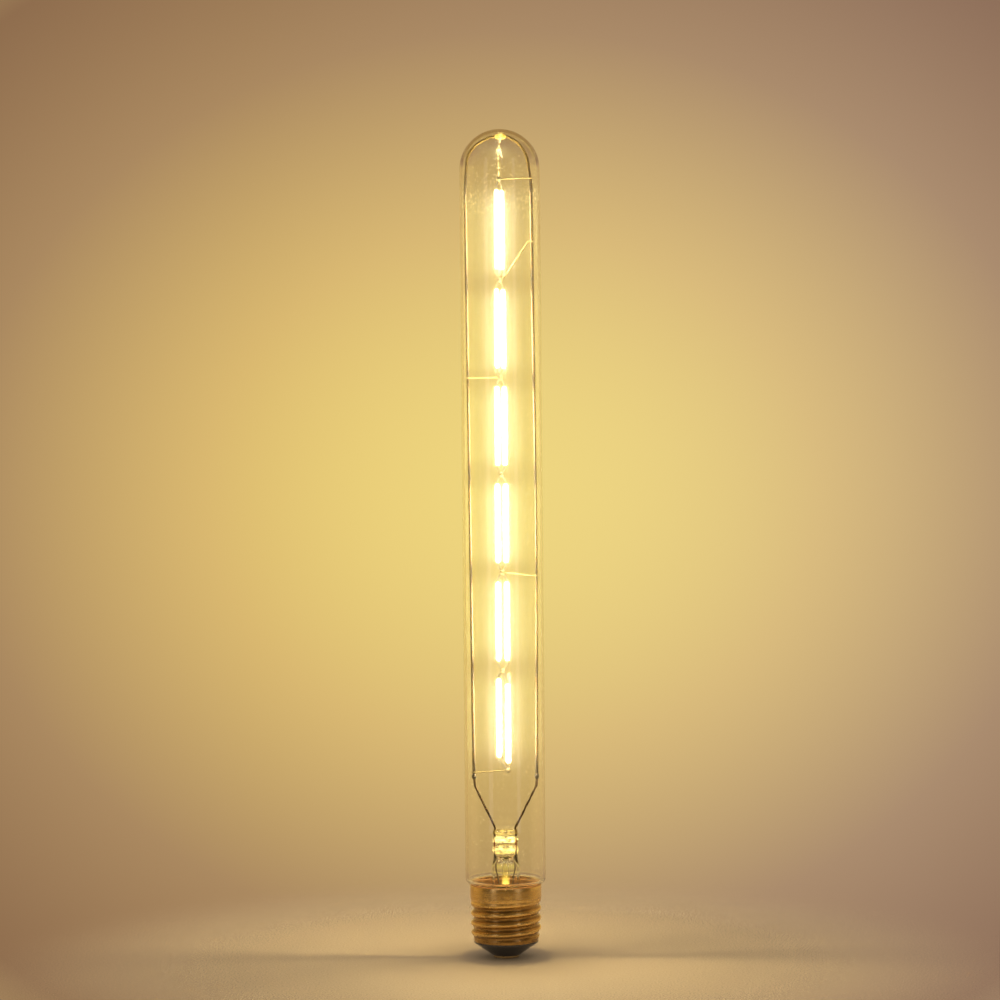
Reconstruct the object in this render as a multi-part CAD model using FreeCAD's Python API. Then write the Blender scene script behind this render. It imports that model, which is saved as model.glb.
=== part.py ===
import FreeCAD, Part
import math
import os

# A tubular filament lamp, in millimetres. Z is the axis of the glass and points up, X is to the right as
# the two frame wires stand side by side, and the tip of the cap is at z = 0.

os.makedirs("parts", exist_ok=True)
V = FreeCAD.Vector

# Screw cap
cap_height = 27.0  # tip to rim
thread_pitch = 3.629
thread_major = 26.2
thread_minor = 24.2
shell_wall = 0.3
shell_length = 20.8  # thread and collar together
collar_height = 5.2
collar_step = 0.15  # how far the collar stands out over the thread's crests
contact_diameter = 9.6
contact_thickness = 0.9
contact_edge = 0.4
contact_seat = 0.5  # how far the insulator's foot reaches past the contact
insulator_rise = 3.4  # how far the insulator stands up inside the shell
insulator_wall = 2.2
sliding_gap = 0.05  # between pieces that slip into each other
no_length = 1e-6  # anything shorter counts as nothing

# Glass
glass_diameter = 30.0
glass_wall = 1.0
glass_length = 281.1  # shoulder to the top of the dome
shoulder_radius = 2.4
neck_length = 8.4
cement_bead = 0.4  # cement between the rim of the cap and the shoulder
neck_wall = 0.9
neck_clearance = 0.55  # neck to the bottom of the thread

# Stem
press_rise = 10.8  # from the shoulder of the glass up to the press
press_height = 9.3
press_width = 8.9
press_depth = 3.2
band_reach = 0.35  # how far the bands bulge out of the press
bands = ((0.0, 0.355), (0.46, 0.26), (0.81, 0.12))  # foot and thickness, as shares of the press
band_roundness = 0.42  # edge radius, as a share of a band's thickness
closing_steps = ((0.0, 0.0), (0.35, 0.12), (0.7, 0.62), (1.0, 1.0))  # rise, share of the way to the oval
stem_tube_diameter = 10.4
stem_wall = 0.9
flare_height = 9.0
flare_roundness = 0.6  # bend of the flare, as a share of its height
exhaust_diameter = 2.8
exhaust_wall = 0.6
exhaust_tip_roundness = 0.8  # of the melted tip, as a share of the radius
exhaust_rise = 2.5  # from the foot of the neck up to the melted tip

# Wires
frame_wire_diameter = 1.1
lead_diameter = 0.8
seal_wire_diameter = 0.5
outer_lead_diameter = 0.5
cross_wire_diameter = 0.45
stay_diameter = 0.6
hanger_diameter = 0.45
hook_gap = 0.02  # between a hook and the wire inside it
cross_wire_run = 2.4  # where a wire turns aside before its hook, in radii of the hook
stay_run = 1.5
hook_end = 0.4  # how far the end of a hook comes back, in radii of the hook
nearly_all = 0.999  # share of a half turn that each bend of a hook takes, so that two bends never meet
wire_end_gap = 0.4  # between the ends of two wires in one bead
lead_spread = 3.8  # from the axis to each lead in the press
lead_rise = 0.6  # from the top of the press to the bend of each inner lead
lead_foot_radius = 1.2
lead_elbow_inset = 0.3
lead_elbow_drop = 3.6  # from the weld bead down to the elbow of each inner lead
lead_elbow_radius = 2.5
seal_depth = 3.5  # from the top of the press down to the seal wires
seal_rise = 1.5  # from the foot of the press up to the seal wires
outer_lead_drop = 2.6  # from the press down to where the outer leads turn inwards
outer_lead_join = 4.0  # from the tip of the exhaust tube up to where they turn down again
outer_lead_radii = (6.0, 8.0)
weld_rise = 19.7  # from the top of the press up to the weld beads
weld_bead_radius = 0.85
weld_bead_half_height = 1.1
left_foot_gap = 2.5  # from the glass to the middle of each frame wire, at its foot and at its head
right_foot_gap = 1.95
left_head_gap = 0.95
right_head_gap = 2.35
right_bow_gap = 1.35
right_bow_share = 0.4  # height of the right wire's widest place, from foot to head
left_head_drop = 7.5  # from the middle of the dome down to where the arch begins
right_head_drop = 5.5
left_arch = ((24.4, 0.71), (46.5, 0.91), (74.8, 1.05))  # degrees above level, gap to the glass
right_arch = ((26.1, 2.42), (53.6, 1.7), (74.9, 0.95))
left_radii = (30.0, 7.5, 10.0, 10.0)
right_radii = (2500.0, 25.0, 12.0, 9.0, 10.0)
left_end_rise = 0.3  # how far above the middle of the bead each frame wire ends
right_end_rise = 0.45
top_bead_x = 0.5
top_bead_gap = 1.45  # from the glass to the middle of the bead
top_bead_radius = 1.2
top_bead_half_length = 2.6

# String of filaments
levels = 6
string_drop = 19.6  # from the top of the glass down to the top joint
string_foot_rise = 2.1  # from the weld beads up to the lowest joint
joint_room = 7.0  # between the ends of the filaments above and below a joint
string_middle = -0.3  # x of the string
string_foot_middle = 1.2  # x of the lowest joint
joint_rise = (1.1, 0.0, 0.3, 0.7, 0.9, 0.6, 0.0)  # above even spacing, from the top joint down
pair_spread = 3.4
pair_turn_top = 56.0  # degrees that the top pair is turned from the plane of the frame wires
pair_turn_foot = 12.0
filament_width = 1.7
filament_thickness = 1.2
last_slip = 2.2  # how far the left filament of the lowest pair sits above the right one
tab_width = 0.7
tab_thickness = 0.2
tab_straight = 1.0  # from the end of a filament to the bend of its tab
tab_reach = 0.5  # from the middle of a joint to the end of a tab
nugget_radius = 0.95
cross_wire_drop = (0.2, -0.2, -1.4, -0.4)  # rise from the string to the frame wire, for each wire
stay_level = 1  # the joint that holds the lower end of the stay
stay_offset = V(0.95, -0.3, -0.15)  # from that joint to the end of the stay
stay_rise = 14.35  # from the end of the stay up to its hook
knot_radius = 0.6
knot_half_height = 0.9
knot_drop = 5.15  # from the top bead down to the knot
knot_x = -0.45
hanger_radius = 6.0
hanger_depth = 0.6  # where the hanger starts in the top bead, as a share of the bead's radius

# Driver
board_thickness = 1.0
board_gap = 0.6  # from the edge of the board to the bottom of the thread
hole_gap = 0.1
solder_height = 0.8
solder_top_radius = 0.85
solder_tip_radius = 0.45
lead_stub = 1.0  # leads show this far below the board
board_lead_x = 2.3
capacitor_diameter = 5.0
capacitor_clearance = 0.1  # under the rim of the stem
capacitor_inset = 4.95  # from the edge of the board to the middle of each piece on it
capacitor_pin_spacing = 2.0
capacitor_pin_diameter = 0.5
capacitor_groove_rise = 0.5  # height and depth of the can's groove, in radii of the can
capacitor_groove_depth = 0.12
chip_stand = 0.1  # under a moulded chip
chip_draft = 0.08  # slope of a chip's sides, as a share of its height
chip_pin_share = 0.35  # width of a pin, as a share of the pitch
chip_pin_thickness = 0.2
chip_pin_reach = 1.0
chip_pin_root = 0.3  # inside the chip
chip_size = V(4.9, 3.9, 1.5)
rectifier_size = V(4.0, 4.6, 1.4)
chip_inset = 4.7
chip_angle = 328.7
rectifier_inset = 4.23
rectifier_angle = 212.8
chip_resistor_size = V(2.0, 1.25, 0.55)
chip_resistor_inset = 4.85
chip_resistor_angle = 268.2
chip_resistor_spacing = 3.4
resistor_diameter = 2.4
resistor_end_room = 1.55  # from the contact and from the board to the resistor's ends
resistor_wire_diameter = 0.6
resistor_waist = 0.85  # of its diameter, between the two fatter ends
resistor_cap_share = 0.2  # length of each fatter end, as a share of the resistor
resistor_slope = 1.4  # where the waist begins, in lengths of an end
resistor_softness = 0.3  # edge radius, in radii of the resistor
neutral_wire_diameter = 0.6
neutral_wire_inset = 3.85
neutral_solder_radius = 0.9
neutral_rise = 3.0
neutral_bend = 2.5  # bend of the wire, in its diameters
neutral_solder_sink = 0.7  # how far from the shell's bore the solder is centred, in radii of the solder

# Worked out from the sizes above
crest_radius = thread_major / 2
collar_radius = crest_radius + collar_step
shell_foot = cap_height - shell_length
root_radius = thread_minor / 2
bore_root = root_radius - shell_wall
neck_radius = bore_root - neck_clearance
glass_radius = glass_diameter / 2
shoulder_height = cap_height + cement_bead
neck_foot = shoulder_height - neck_length
dome_height = shoulder_height + glass_length - glass_radius
board_height = shell_foot + insulator_rise
board_top = board_height + board_thickness
board_radius = bore_root - board_gap
stem_radius = stem_tube_diameter / 2
frame_radius = frame_wire_diameter / 2
crown = shoulder_height + glass_length
bore_radius = glass_radius - glass_wall
press_foot = shoulder_height + press_rise
press_top = press_foot + press_height
exhaust_tip = neck_foot + exhaust_rise
weld_height = press_top + weld_rise
left_foot = V(left_foot_gap - bore_radius, 0, weld_height)
right_foot = V(bore_radius - right_foot_gap, 0, weld_height)
top_bead = V(top_bead_x, 0, dome_height + bore_radius - top_bead_gap)
string_foot = weld_height + string_foot_rise
string_pitch = (crown - string_drop - string_foot) / levels
filament_length = string_pitch - joint_room
resistor_length = board_height - contact_thickness - 2 * resistor_end_room
capacitor_height = neck_foot - stem_wall - board_top - capacitor_clearance
neutral_wire_x = neutral_wire_inset - board_radius
nodes = {}


def on_board(inset, angle):
    """A place on the board, so far in from its edge and turned so many degrees from the X axis."""
    reach = board_radius - inset
    return V(reach * math.cos(math.radians(angle)), reach * math.sin(math.radians(angle)), 0)


capacitor_place = on_board(capacitor_inset, 90)
chip_place = on_board(chip_inset, chip_angle)
rectifier_place = on_board(rectifier_inset, rectifier_angle)
chip_resistor_place = on_board(chip_resistor_inset, chip_resistor_angle)


def keep(name, shape):
    """Stores a finished sub-part under its node's name."""
    nodes[name] = shape


def rounded_path(points, radii, closed=False):
    """A wire along the points, with each corner rounded by a tangent arc of its own radius."""
    count = len(points)
    pieces = []
    stops = []
    for i, corner in enumerate(points):
        radius = radii[i]
        if radius == 0 or (not closed and i in (0, count - 1)):
            stops.append((corner, None, corner))
            continue
        back = (points[i - 1] - corner).normalize()
        ahead = (points[(i + 1) % count] - corner).normalize()
        half = back.getAngle(ahead) / 2
        reach = radius / math.tan(half)
        inward = (back + ahead).normalize()
        middle = corner + inward * (radius / math.sin(half) - radius)
        stops.append((corner + back * reach, middle, corner + ahead * reach))
    for i, (start, middle, end) in enumerate(stops):
        if middle is not None:
            pieces.append(Part.Arc(start, middle, end).toShape())
        if closed or i < count - 1:
            following = stops[(i + 1) % count][0]
            if end.distanceToPoint(following) > no_length:
                pieces.append(Part.LineSegment(end, following).toShape())
    return Part.Wire(pieces)


def turned(outline, radii=None):
    """A body of revolution about Z from an outline of (radius, height) points."""
    points = [V(r, 0, z) for r, z in outline]
    wire = rounded_path(points, radii or [0] * len(points), closed=True)
    return Part.Face(wire).revolve(V(0, 0, 0), V(0, 0, 1), 360)


def bent_wire(points, radii, diameter):
    """A round wire bent along straight runs and arcs, and the line that it follows."""
    path = rounded_path(points, radii)
    start = points[1] - points[0]
    section = Part.Wire(Part.Circle(points[0], start, diameter / 2).toShape())
    return path.makePipeShell([section], True, False), path


def point_at(path, height):
    """Where a wire's line crosses a level."""
    half = glass_diameter
    level = Part.makePlane(2 * half, 2 * half, V(-half, -half, height))
    return path.section(level).Vertexes[0].Point


def egg(centre, radius, half_length, along):
    """An egg-shaped bead of glass or metal, longer along one direction."""
    ellipse = Part.Ellipse(V(0, 0, 0), half_length, radius)
    arc = Part.Arc(ellipse, 0, math.pi).toShape()
    flat = Part.makeLine(V(-half_length, 0, 0), V(half_length, 0, 0))
    body = Part.Face(Part.Wire([arc, flat])).revolve(V(0, 0, 0), V(1, 0, 0), 360)
    turn = FreeCAD.Rotation(V(1, 0, 0), along)
    body.Placement = FreeCAD.Placement(centre, turn)
    return body


def oblong_block(width, depth, foot, height, edge=0.0):
    """An upright bar with round ends, as wide as its width along X, with softened rims."""
    r = depth / 2
    x = width / 2 - r
    corners = [V(-x, -r, foot), V(x, -r, foot), V(x, r, foot), V(-x, r, foot)]
    sides = [
        Part.makeLine(corners[0], corners[1]),
        Part.Arc(corners[1], V(width / 2, 0, foot), corners[2]).toShape(),
        Part.makeLine(corners[2], corners[3]),
        Part.Arc(corners[3], V(-width / 2, 0, foot), corners[0]).toShape(),
    ]
    block = Part.Face(Part.Wire(sides)).extrude(V(0, 0, height))
    if edge:
        rims = [e for e in block.Edges if abs(e.BoundBox.ZLength) < no_length]
        block = block.makeFillet(edge, rims)
    return block


# Glass envelope
def make_envelope():
    """A blown tube of even wall: half-round dome, straight wall, tight shoulder and a neck."""
    outer = glass_radius
    inner = outer - glass_wall
    neck_inner = neck_radius - neck_wall
    floor = shoulder_height + glass_wall
    bend = shoulder_radius - glass_wall
    crown = V(0, 0, dome_height)
    diagonal = math.sqrt(0.5)
    profile = [
        V(neck_inner, 0, neck_foot),
        V(neck_radius, 0, neck_foot),
        V(neck_radius, 0, shoulder_height),
        V(outer, 0, shoulder_height),
        V(outer, 0, dome_height),
    ]
    outside = rounded_path(profile, [0, 0, glass_wall / 2, shoulder_radius, 0])
    lining = [
        V(inner, 0, dome_height),
        V(inner, 0, floor),
        V(neck_inner, 0, floor),
        V(neck_inner, 0, neck_foot),
    ]
    inside = rounded_path(lining, [0, bend, glass_wall, 0])
    top = V(0, 0, dome_height + outer)
    under = V(0, 0, dome_height + inner)
    big_arc = Part.Arc(profile[-1], crown + V(outer, 0, outer) * diagonal, top)
    small_arc = Part.Arc(under, crown + V(inner, 0, inner) * diagonal, lining[0])
    pieces = outside.Edges + [big_arc.toShape(), Part.makeLine(top, under), small_arc.toShape()]
    pieces += inside.Edges
    return Part.Face(Part.Wire(pieces)).revolve(V(0, 0, 0), V(0, 0, 1), 360)


# Screw shell
def knuckle(turns):
    """Height of the round thread form above its middle line, where turns is 0 on a crest."""
    quarter = thread_pitch / 4
    depth = (crest_radius - root_radius) / 2
    form = (quarter**2 + depth**2) / (2 * depth)
    offset = (turns % 1.0) * thread_pitch
    offset = min(offset, thread_pitch - offset)
    side = 1 if offset <= quarter else -1
    if side < 0:
        offset = 2 * quarter - offset
    return side * (math.sqrt(form**2 - offset**2) - (form - depth))


def eased(share):
    """Goes smoothly from 0 to 1 as share does."""
    share = max(0.0, min(1.0, share))
    return share * share * (3 - 2 * share)


def pole_reach(steps):
    """How far outside a round curve of even steps the poles of a cubic spline lie."""
    return 6 / (4 + 2 * math.cos(2 * math.pi / steps))


def rolled_face(foot, head, inset):
    """One face of the rolled sheet: a cubic spline surface whose poles turn with the helix.

    The thread fades out over one pitch, to the root at the foot and to the crest at the head.
    """
    steps_a_pitch = 12
    poles_a_ring = 24
    spans = math.ceil((head - foot) / thread_pitch * steps_a_pitch)
    knots = list(range(spans + 1))
    ends = [0] * 3 + knots + [spans] * 3
    middle = (crest_radius + root_radius) / 2
    rings = []
    for k in range(spans + 3):
        z = foot + (head - foot) * sum(ends[k + 1 : k + 4]) / 3 / spans
        fade_foot = eased((z - foot) / thread_pitch)
        fade_head = eased((head - z) / thread_pitch)
        base = root_radius + (middle - root_radius) * fade_foot
        base += (crest_radius - middle) * (1 - fade_head)
        swing = fade_foot * fade_head * pole_reach(steps_a_pitch)
        ring = []
        for i in range(poles_a_ring):
            angle = 2 * math.pi * i / poles_a_ring
            turns = z / thread_pitch - angle / (2 * math.pi)
            radius = (base + knuckle(turns) * swing - inset) * pole_reach(poles_a_ring)
            ring.append(V(radius * math.cos(angle), radius * math.sin(angle), z))
        rings.append(ring)
    surface = Part.BSplineSurface()
    rows = [4] + [1] * (spans - 1) + [4]
    columns = [1] * (poles_a_ring + 1)
    around = list(range(poles_a_ring + 1))
    surface.buildFromPolesMultsKnots(rings, rows, columns, knots, around, False, True, 3, 3)
    return surface.toShape()


def level_edge(face, height):
    """The closed edge of a face at one height, as a wire."""
    near = 1e-6
    return Part.Wire([e for e in face.Edges if max(abs(v.Z - height) for v in e.Vertexes) < near])


def make_shell():
    """A rolled brass sheet: threaded inside and out, with a plain collar of larger diameter."""
    collar_foot = cap_height - collar_height
    thread_head = collar_foot + shell_wall
    outside = rolled_face(shell_foot, thread_head, 0)
    inside = rolled_face(shell_foot, thread_head, shell_wall)
    sides = [outside, inside]
    for height in (shell_foot, thread_head):
        rims = [level_edge(face, height) for face in (outside, inside)]
        sides.append(Part.makeFace(rims, "Part::FaceMakerCheese"))
    skin = Part.makeShell(sides)
    skin.sewShape()
    thread = Part.makeSolid(skin)
    if thread.Volume < 0:
        thread.reverse()
    inner = collar_radius - shell_wall
    lap = crest_radius - shell_wall / 2
    collar = turned(
        [
            (lap, collar_foot),
            (collar_radius, collar_foot),
            (collar_radius, cap_height),
            (inner, cap_height),
            (inner, thread_head),
            (lap, thread_head),
        ]
    )
    return thread.fuse(collar)


def make_insulator():
    """A black glass cone that grips the foot of the shell and carries the board on its rim."""
    rim = bore_root - sliding_gap
    flank = contact_diameter / 2 + contact_seat
    hollow = rim - insulator_wall
    bore = resistor_diameter / 2 + insulator_wall / 2
    foot = contact_thickness
    ledge = shell_foot
    outline = [
        (bore, foot),
        (flank, foot),
        (root_radius, ledge - shell_wall * 2),
        (root_radius, ledge),
        (rim, ledge),
        (rim, board_height),
        (hollow, board_height),
        (hollow, ledge),
        (bore, foot + insulator_wall),
    ]
    return turned(outline)


def make_contact():
    """A round plate with a softened lower edge and a hole for the solder."""
    edge = contact_diameter / 2
    hole = resistor_wire_diameter / 2 + contact_edge * 2
    outline = [(hole, 0), (edge, 0), (edge, contact_thickness), (hole, contact_thickness)]
    return turned(outline, [0, contact_edge, 0, 0])


def make_cement():
    """Cement between neck and collar, with a bead that carries the shoulder on the rim."""
    collar_bore = collar_radius - shell_wall
    foot = cap_height - collar_height + shell_wall
    outline = [
        (neck_radius, foot),
        (collar_bore, foot),
        (collar_bore, cap_height),
        (collar_radius - shell_wall / 2, cap_height),
        (collar_radius - shell_wall / 2, shoulder_height),
        (neck_radius, shoulder_height),
    ]
    return turned(outline)


# Stem
def make_stem():
    """A flared tube whose top is pressed flat round the leads, with three bulging bands."""
    inner = stem_radius - stem_wall
    neck_inner = neck_radius - neck_wall
    rim_top = neck_foot
    rim_foot = neck_foot - stem_wall
    tube_top = press_foot - stem_radius / 2
    outline = [
        (inner, tube_top),
        (inner, rim_foot),
        (neck_radius, rim_foot),
        (neck_radius, rim_top),
        (stem_radius, rim_top),
        (stem_radius, tube_top),
    ]
    bend = min(flare_height * flare_roundness, neck_inner - stem_radius)
    flare = turned(outline, [0, bend + stem_wall, 0, 0, bend, 0])
    pinch = oblong_block(press_width, press_depth, press_foot, press_top - press_foot, press_depth / 4)
    for share_foot, share_thick in bands:
        rise, thickness = share_foot * press_height, share_thick * press_height
        width = press_width + 2 * band_reach
        depth = press_depth + 2 * band_reach
        band = oblong_block(width, depth, press_foot + rise, thickness, thickness * band_roundness)
        pinch = pinch.fuse(band)
    shoulder = closing(stem_radius, press_width / 2, press_depth / 2, tube_top, press_foot + band_reach)
    cavity_top = press_foot - stem_wall
    cavity = closing(inner, press_width / 3, (exhaust_diameter + stem_wall) / 2, tube_top, cavity_top)
    return flare.fuse(shoulder.cut(cavity)).fuse(pinch).removeSplitter()


def closing(radius, half_width, half_depth, foot, top):
    """The round end of a tube drawn together to a flat oval."""
    sections = []
    for rise, share in closing_steps:
        x = radius + (half_width - radius) * share
        y = radius + (half_depth - radius) * share
        centre = V(0, 0, foot + (top - foot) * rise)
        if x - y < no_length:
            ring = Part.Circle(centre, V(0, 0, 1), x)
        else:
            ring = Part.Ellipse(centre, x, y)
        sections.append(Part.Wire(ring.toShape()))
    return Part.makeLoft(sections, True, False)


def make_exhaust():
    """A thin tube from the ceiling of the press down to its melted tip."""
    top = press_foot - stem_wall
    outer = exhaust_diameter / 2
    inner = outer - exhaust_wall
    sealed = exhaust_tip + exhaust_diameter
    outline = [
        (0, exhaust_tip),
        (outer, exhaust_tip),
        (outer, top),
        (inner, top),
        (inner, sealed),
        (0, sealed),
    ]
    melted = exhaust_tip_roundness
    return turned(outline, [0, outer * melted, 0, 0, inner * melted, 0])


# Frame wires, leads and beads
def arch_points(side, arch):
    """Points under the dome, each at its own angle above level and its own gap from the glass."""
    points = []
    for angle, gap in arch:
        reach = bore_radius - gap
        rise = reach * math.sin(math.radians(angle))
        points.append(V(side * reach * math.cos(math.radians(angle)), 0, dome_height + rise))
    return points


def frame_wires():
    """The two long wires, which lean apart, bend in under the dome and end in the top bead."""
    start = V(0, 0, wire_end_gap / 2)
    left_head = V(left_head_gap - bore_radius, 0, dome_height - left_head_drop)
    right_head = V(bore_radius - right_head_gap, 0, dome_height - right_head_drop)
    bow_height = right_foot.z + (right_head.z - right_foot.z) * right_bow_share
    right_bow = V(bore_radius - right_bow_gap, 0, bow_height)
    left_end = top_bead + V(-wire_end_gap / 2, 0, left_end_rise)
    right_end = top_bead + V(wire_end_gap / 2, 0, right_end_rise)
    left_points = [left_foot + start, left_head, *arch_points(-1, left_arch), left_end]
    right_points = [right_foot + start, right_bow, right_head, *arch_points(1, right_arch), right_end]
    left = bent_wire(left_points, [0, *left_radii, 0], frame_wire_diameter)
    right = bent_wire(right_points, [0, *right_radii, 0], frame_wire_diameter)
    return left, right


def lead_runs(side, foot):
    """Inner lead, seal wire and outer lead of one side, end to end, as three wires."""
    spread = side * lead_spread
    seal_top = press_top - seal_depth
    seal_foot = press_foot + seal_rise
    lead_top = foot - V(0, 0, wire_end_gap / 2)
    inner_points = [
        lead_top,
        V(foot.x - side * lead_elbow_inset, 0, foot.z - lead_elbow_drop),
        V(spread, 0, press_top + lead_rise),
        V(spread, 0, seal_top),
    ]
    inner, _ = bent_wire(inner_points, [0, lead_elbow_radius, lead_foot_radius, 0], lead_diameter)
    seal, _ = bent_wire([V(spread, 0, seal_top), V(spread, 0, seal_foot)], [0, 0], seal_wire_diameter)
    hole = side * board_lead_x
    outer_points = [
        V(spread, 0, seal_foot),
        V(spread, 0, press_foot - outer_lead_drop),
        V(hole, 0, exhaust_tip + outer_lead_join),
        V(hole, 0, board_height - lead_stub),
    ]
    outer, _ = bent_wire(outer_points, [0, *outer_lead_radii, 0], outer_lead_diameter)
    return inner, seal, outer


# String of filaments
def joint_point(i):
    """The middle of joint i of the string, counted from the top."""
    z = string_foot + (levels - i) * string_pitch + joint_rise[i]
    x = string_foot_middle if i == levels else string_middle
    return V(x, 0, z)


def pair_direction(level):
    """The direction from the left to the right filament of a level."""
    turn = pair_turn_top + (pair_turn_foot - pair_turn_top) * level / (levels - 1)
    return V(math.cos(math.radians(turn)), math.sin(math.radians(turn)), 0)


def filament_middle(level, side):
    """The centre of one filament."""
    upper, lower = joint_point(level), joint_point(level + 1)
    slip = last_slip / 2 * -side if level == levels - 1 else 0
    middle = V(string_middle, 0, (upper.z + lower.z) / 2 + slip)
    return middle + pair_direction(level) * (side * pair_spread / 2)


def make_filament(level, side):
    """A coated strip with round edges, standing upright."""
    body = oblong_block(filament_width, filament_thickness, -filament_length / 2, filament_length)
    direction = pair_direction(level)
    turn = math.degrees(math.atan2(direction.y, direction.x))
    body.rotate(V(0, 0, 0), V(0, 0, 1), turn)
    body.translate(filament_middle(level, side))
    return body


def ribbon(start, bend, end, width, thickness):
    """A flat strip of metal along two straight runs, whose wide face lies in the plane of its bend."""
    across = (bend - start).cross(end - bend).normalize()
    first = across.cross(bend - start).normalize() * (width / 2)
    last = across.cross(end - bend).normalize() * (width / 2)
    half_turn = first.getAngle(last) / 2
    corner = (first + last).normalize() * (width / 2 / math.cos(half_turn))
    corners = [start + first, bend + corner, end + last, end - last, bend - corner, start - first]
    back = across * (thickness / 2)
    outline = Part.makePolygon([c - back for c in corners + corners[:1]])
    return Part.Face(outline).extrude(across * thickness)


def joint_tabs(i):
    """The tabs that meet at joint i, from the filaments above it and below it."""
    joint = joint_point(i)
    tabs = []
    for level, way in ((i - 1, 1), (i, -1)):
        if not 0 <= level < levels:
            continue
        direction = pair_direction(level)
        for side in (-1, 1):
            start = filament_middle(level, side) - V(0, 0, way * filament_length / 2)
            bend = start - V(0, 0, way * tab_straight)
            apart = direction * (side * (tab_width / 2 + sliding_gap))
            end = joint + V(0, 0, way * tab_reach) + apart
            tabs.append(ribbon(start, bend, end, tab_width, tab_thickness))
    return Part.makeCompound(tabs)


def hooked_wire(start, post, side, height, diameter, run):
    """A wire from start that ends in a hook round a post, and lies in front of it first."""
    ring = frame_radius + diameter / 2 + hook_gap
    knee = run * ring
    points = [
        start,
        V(post.x - side * knee, post.y - ring, height),
        V(post.x + side * ring, post.y - ring, height),
        V(post.x + side * ring, post.y + ring, height),
        V(post.x - side * ring * hook_end, post.y + ring, height),
    ]
    turn = ring * nearly_all
    wire, _ = bent_wire(points, [0, ring, turn, turn, 0], diameter)
    return wire


# Driver
def smd_body(size, place, pins_a_side):
    """A moulded chip with bevelled sides and bent pins along its two long sides."""
    foot = board_top + chip_stand
    middle = foot + size.z / 2
    draft = size.z * chip_draft
    half_x, half_y = size.x / 2, size.y / 2
    sections = []
    for z, inset in ((foot, draft), (middle, 0), (foot + size.z, draft)):
        x, y = half_x - inset, half_y - inset
        corners = [V(-x, -y, z), V(x, -y, z), V(x, y, z), V(-x, y, z), V(-x, -y, z)]
        sections.append(Part.makePolygon(corners))
    body = Part.makeLoft(sections, True, True)
    pin_width = size.x / pins_a_side * chip_pin_share
    root = half_y - chip_pin_root
    knee = half_y + chip_pin_reach / 2
    end = half_y + chip_pin_reach
    thick = chip_pin_thickness
    for i in range(pins_a_side):
        x = (i - (pins_a_side - 1) / 2) * size.x / pins_a_side
        for side in (-1, 1):
            tread = [
                (root, middle),
                (knee, middle),
                (knee, board_top + thick),
                (end, board_top + thick),
                (end, board_top),
                (knee - thick, board_top),
                (knee - thick, middle - thick),
                (root, middle - thick),
            ]
            corners = [V(x - pin_width / 2, side * y, z) for y, z in tread]
            pin = Part.Face(Part.makePolygon(corners + corners[:1])).extrude(V(pin_width, 0, 0))
            body = body.fuse(pin)
    body.translate(place)
    return body


def round_bar(start, end, diameter):
    """A straight round wire."""
    run = end - start
    return Part.makeCylinder(diameter / 2, run.Length, start, run)


def make_capacitor():
    """An aluminium can in its sleeve, with a groove over the rubber and two pins."""
    r = capacitor_diameter / 2
    foot = board_top
    groove = foot + r * capacitor_groove_rise
    depth = r * capacitor_groove_depth
    outline = [
        (0, foot),
        (r, foot),
        (r, groove - depth),
        (r - depth, groove),
        (r, groove + depth),
        (r, foot + capacitor_height),
        (0, foot + capacitor_height),
    ]
    can = turned(outline, [0, depth, 0, depth, 0, depth * 2, 0])
    can.translate(capacitor_place)
    for pin in capacitor_pins():
        head = V(pin.x, pin.y, board_top + depth)
        can = can.fuse(round_bar(pin, head, capacitor_pin_diameter))
    return can


def capacitor_pins():
    """The lower ends of the capacitor's pins."""
    half = capacitor_pin_spacing / 2
    return [capacitor_place + V(side * half, 0, board_height - lead_stub) for side in (-1, 1)]


def make_fusible_resistor():
    """A resistor with fatter ends on its own lead, which runs from the tip of the cap to the board."""
    wire = resistor_wire_diameter / 2
    body = resistor_diameter / 2
    waist = body * resistor_waist
    middle = (contact_thickness + board_height) / 2
    foot = middle - resistor_length / 2
    head = middle + resistor_length / 2
    cap = resistor_length * resistor_cap_share
    top = board_top + lead_stub
    outline = [
        (0, contact_edge),
        (wire, contact_edge),
        (wire, foot),
        (body, foot),
        (body, foot + cap),
        (waist, foot + cap * resistor_slope),
        (waist, head - cap * resistor_slope),
        (body, head - cap),
        (body, head),
        (wire, head),
        (wire, top),
        (0, top),
    ]
    soft = body * resistor_softness
    return turned(outline, [0, 0, 0, soft, soft, soft, soft, soft, soft, 0, 0, 0])


def make_neutral_wire():
    """The wire from the board to the solder on the shell's bore."""
    x = neutral_wire_x
    reach = bore_root - neutral_solder_radius
    points = [
        V(x, 0, board_height - lead_stub),
        V(x, 0, board_top + neutral_rise),
        V(-reach, 0, board_top + neutral_rise),
    ]
    wire, _ = bent_wire(points, [0, neutral_wire_diameter * neutral_bend, 0], neutral_wire_diameter)
    return wire


def make_shell_solder(wire):
    """A lump of solder, flattened where it lies along the bore of the shell."""
    reach = bore_root - sliding_gap
    centre = V(-(reach - neutral_solder_radius * neutral_solder_sink), 0, board_top + neutral_rise)
    lump = Part.makeSphere(neutral_solder_radius, centre)
    foot = V(0, 0, centre.z - neutral_solder_radius * 2)
    bore = Part.makeCylinder(reach, neutral_solder_radius * 4, foot)
    return lump.common(bore).cut(wire)


def board_holes():
    """Where leads pass through the board, as (x, y, wire diameter)."""
    holes = [(side * board_lead_x, 0, outer_lead_diameter) for side in (-1, 1)]
    holes += [(pin.x, pin.y, capacitor_pin_diameter) for pin in capacitor_pins()]
    holes.append((0, 0, resistor_wire_diameter))
    holes.append((neutral_wire_x, 0, neutral_wire_diameter))
    return holes


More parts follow.
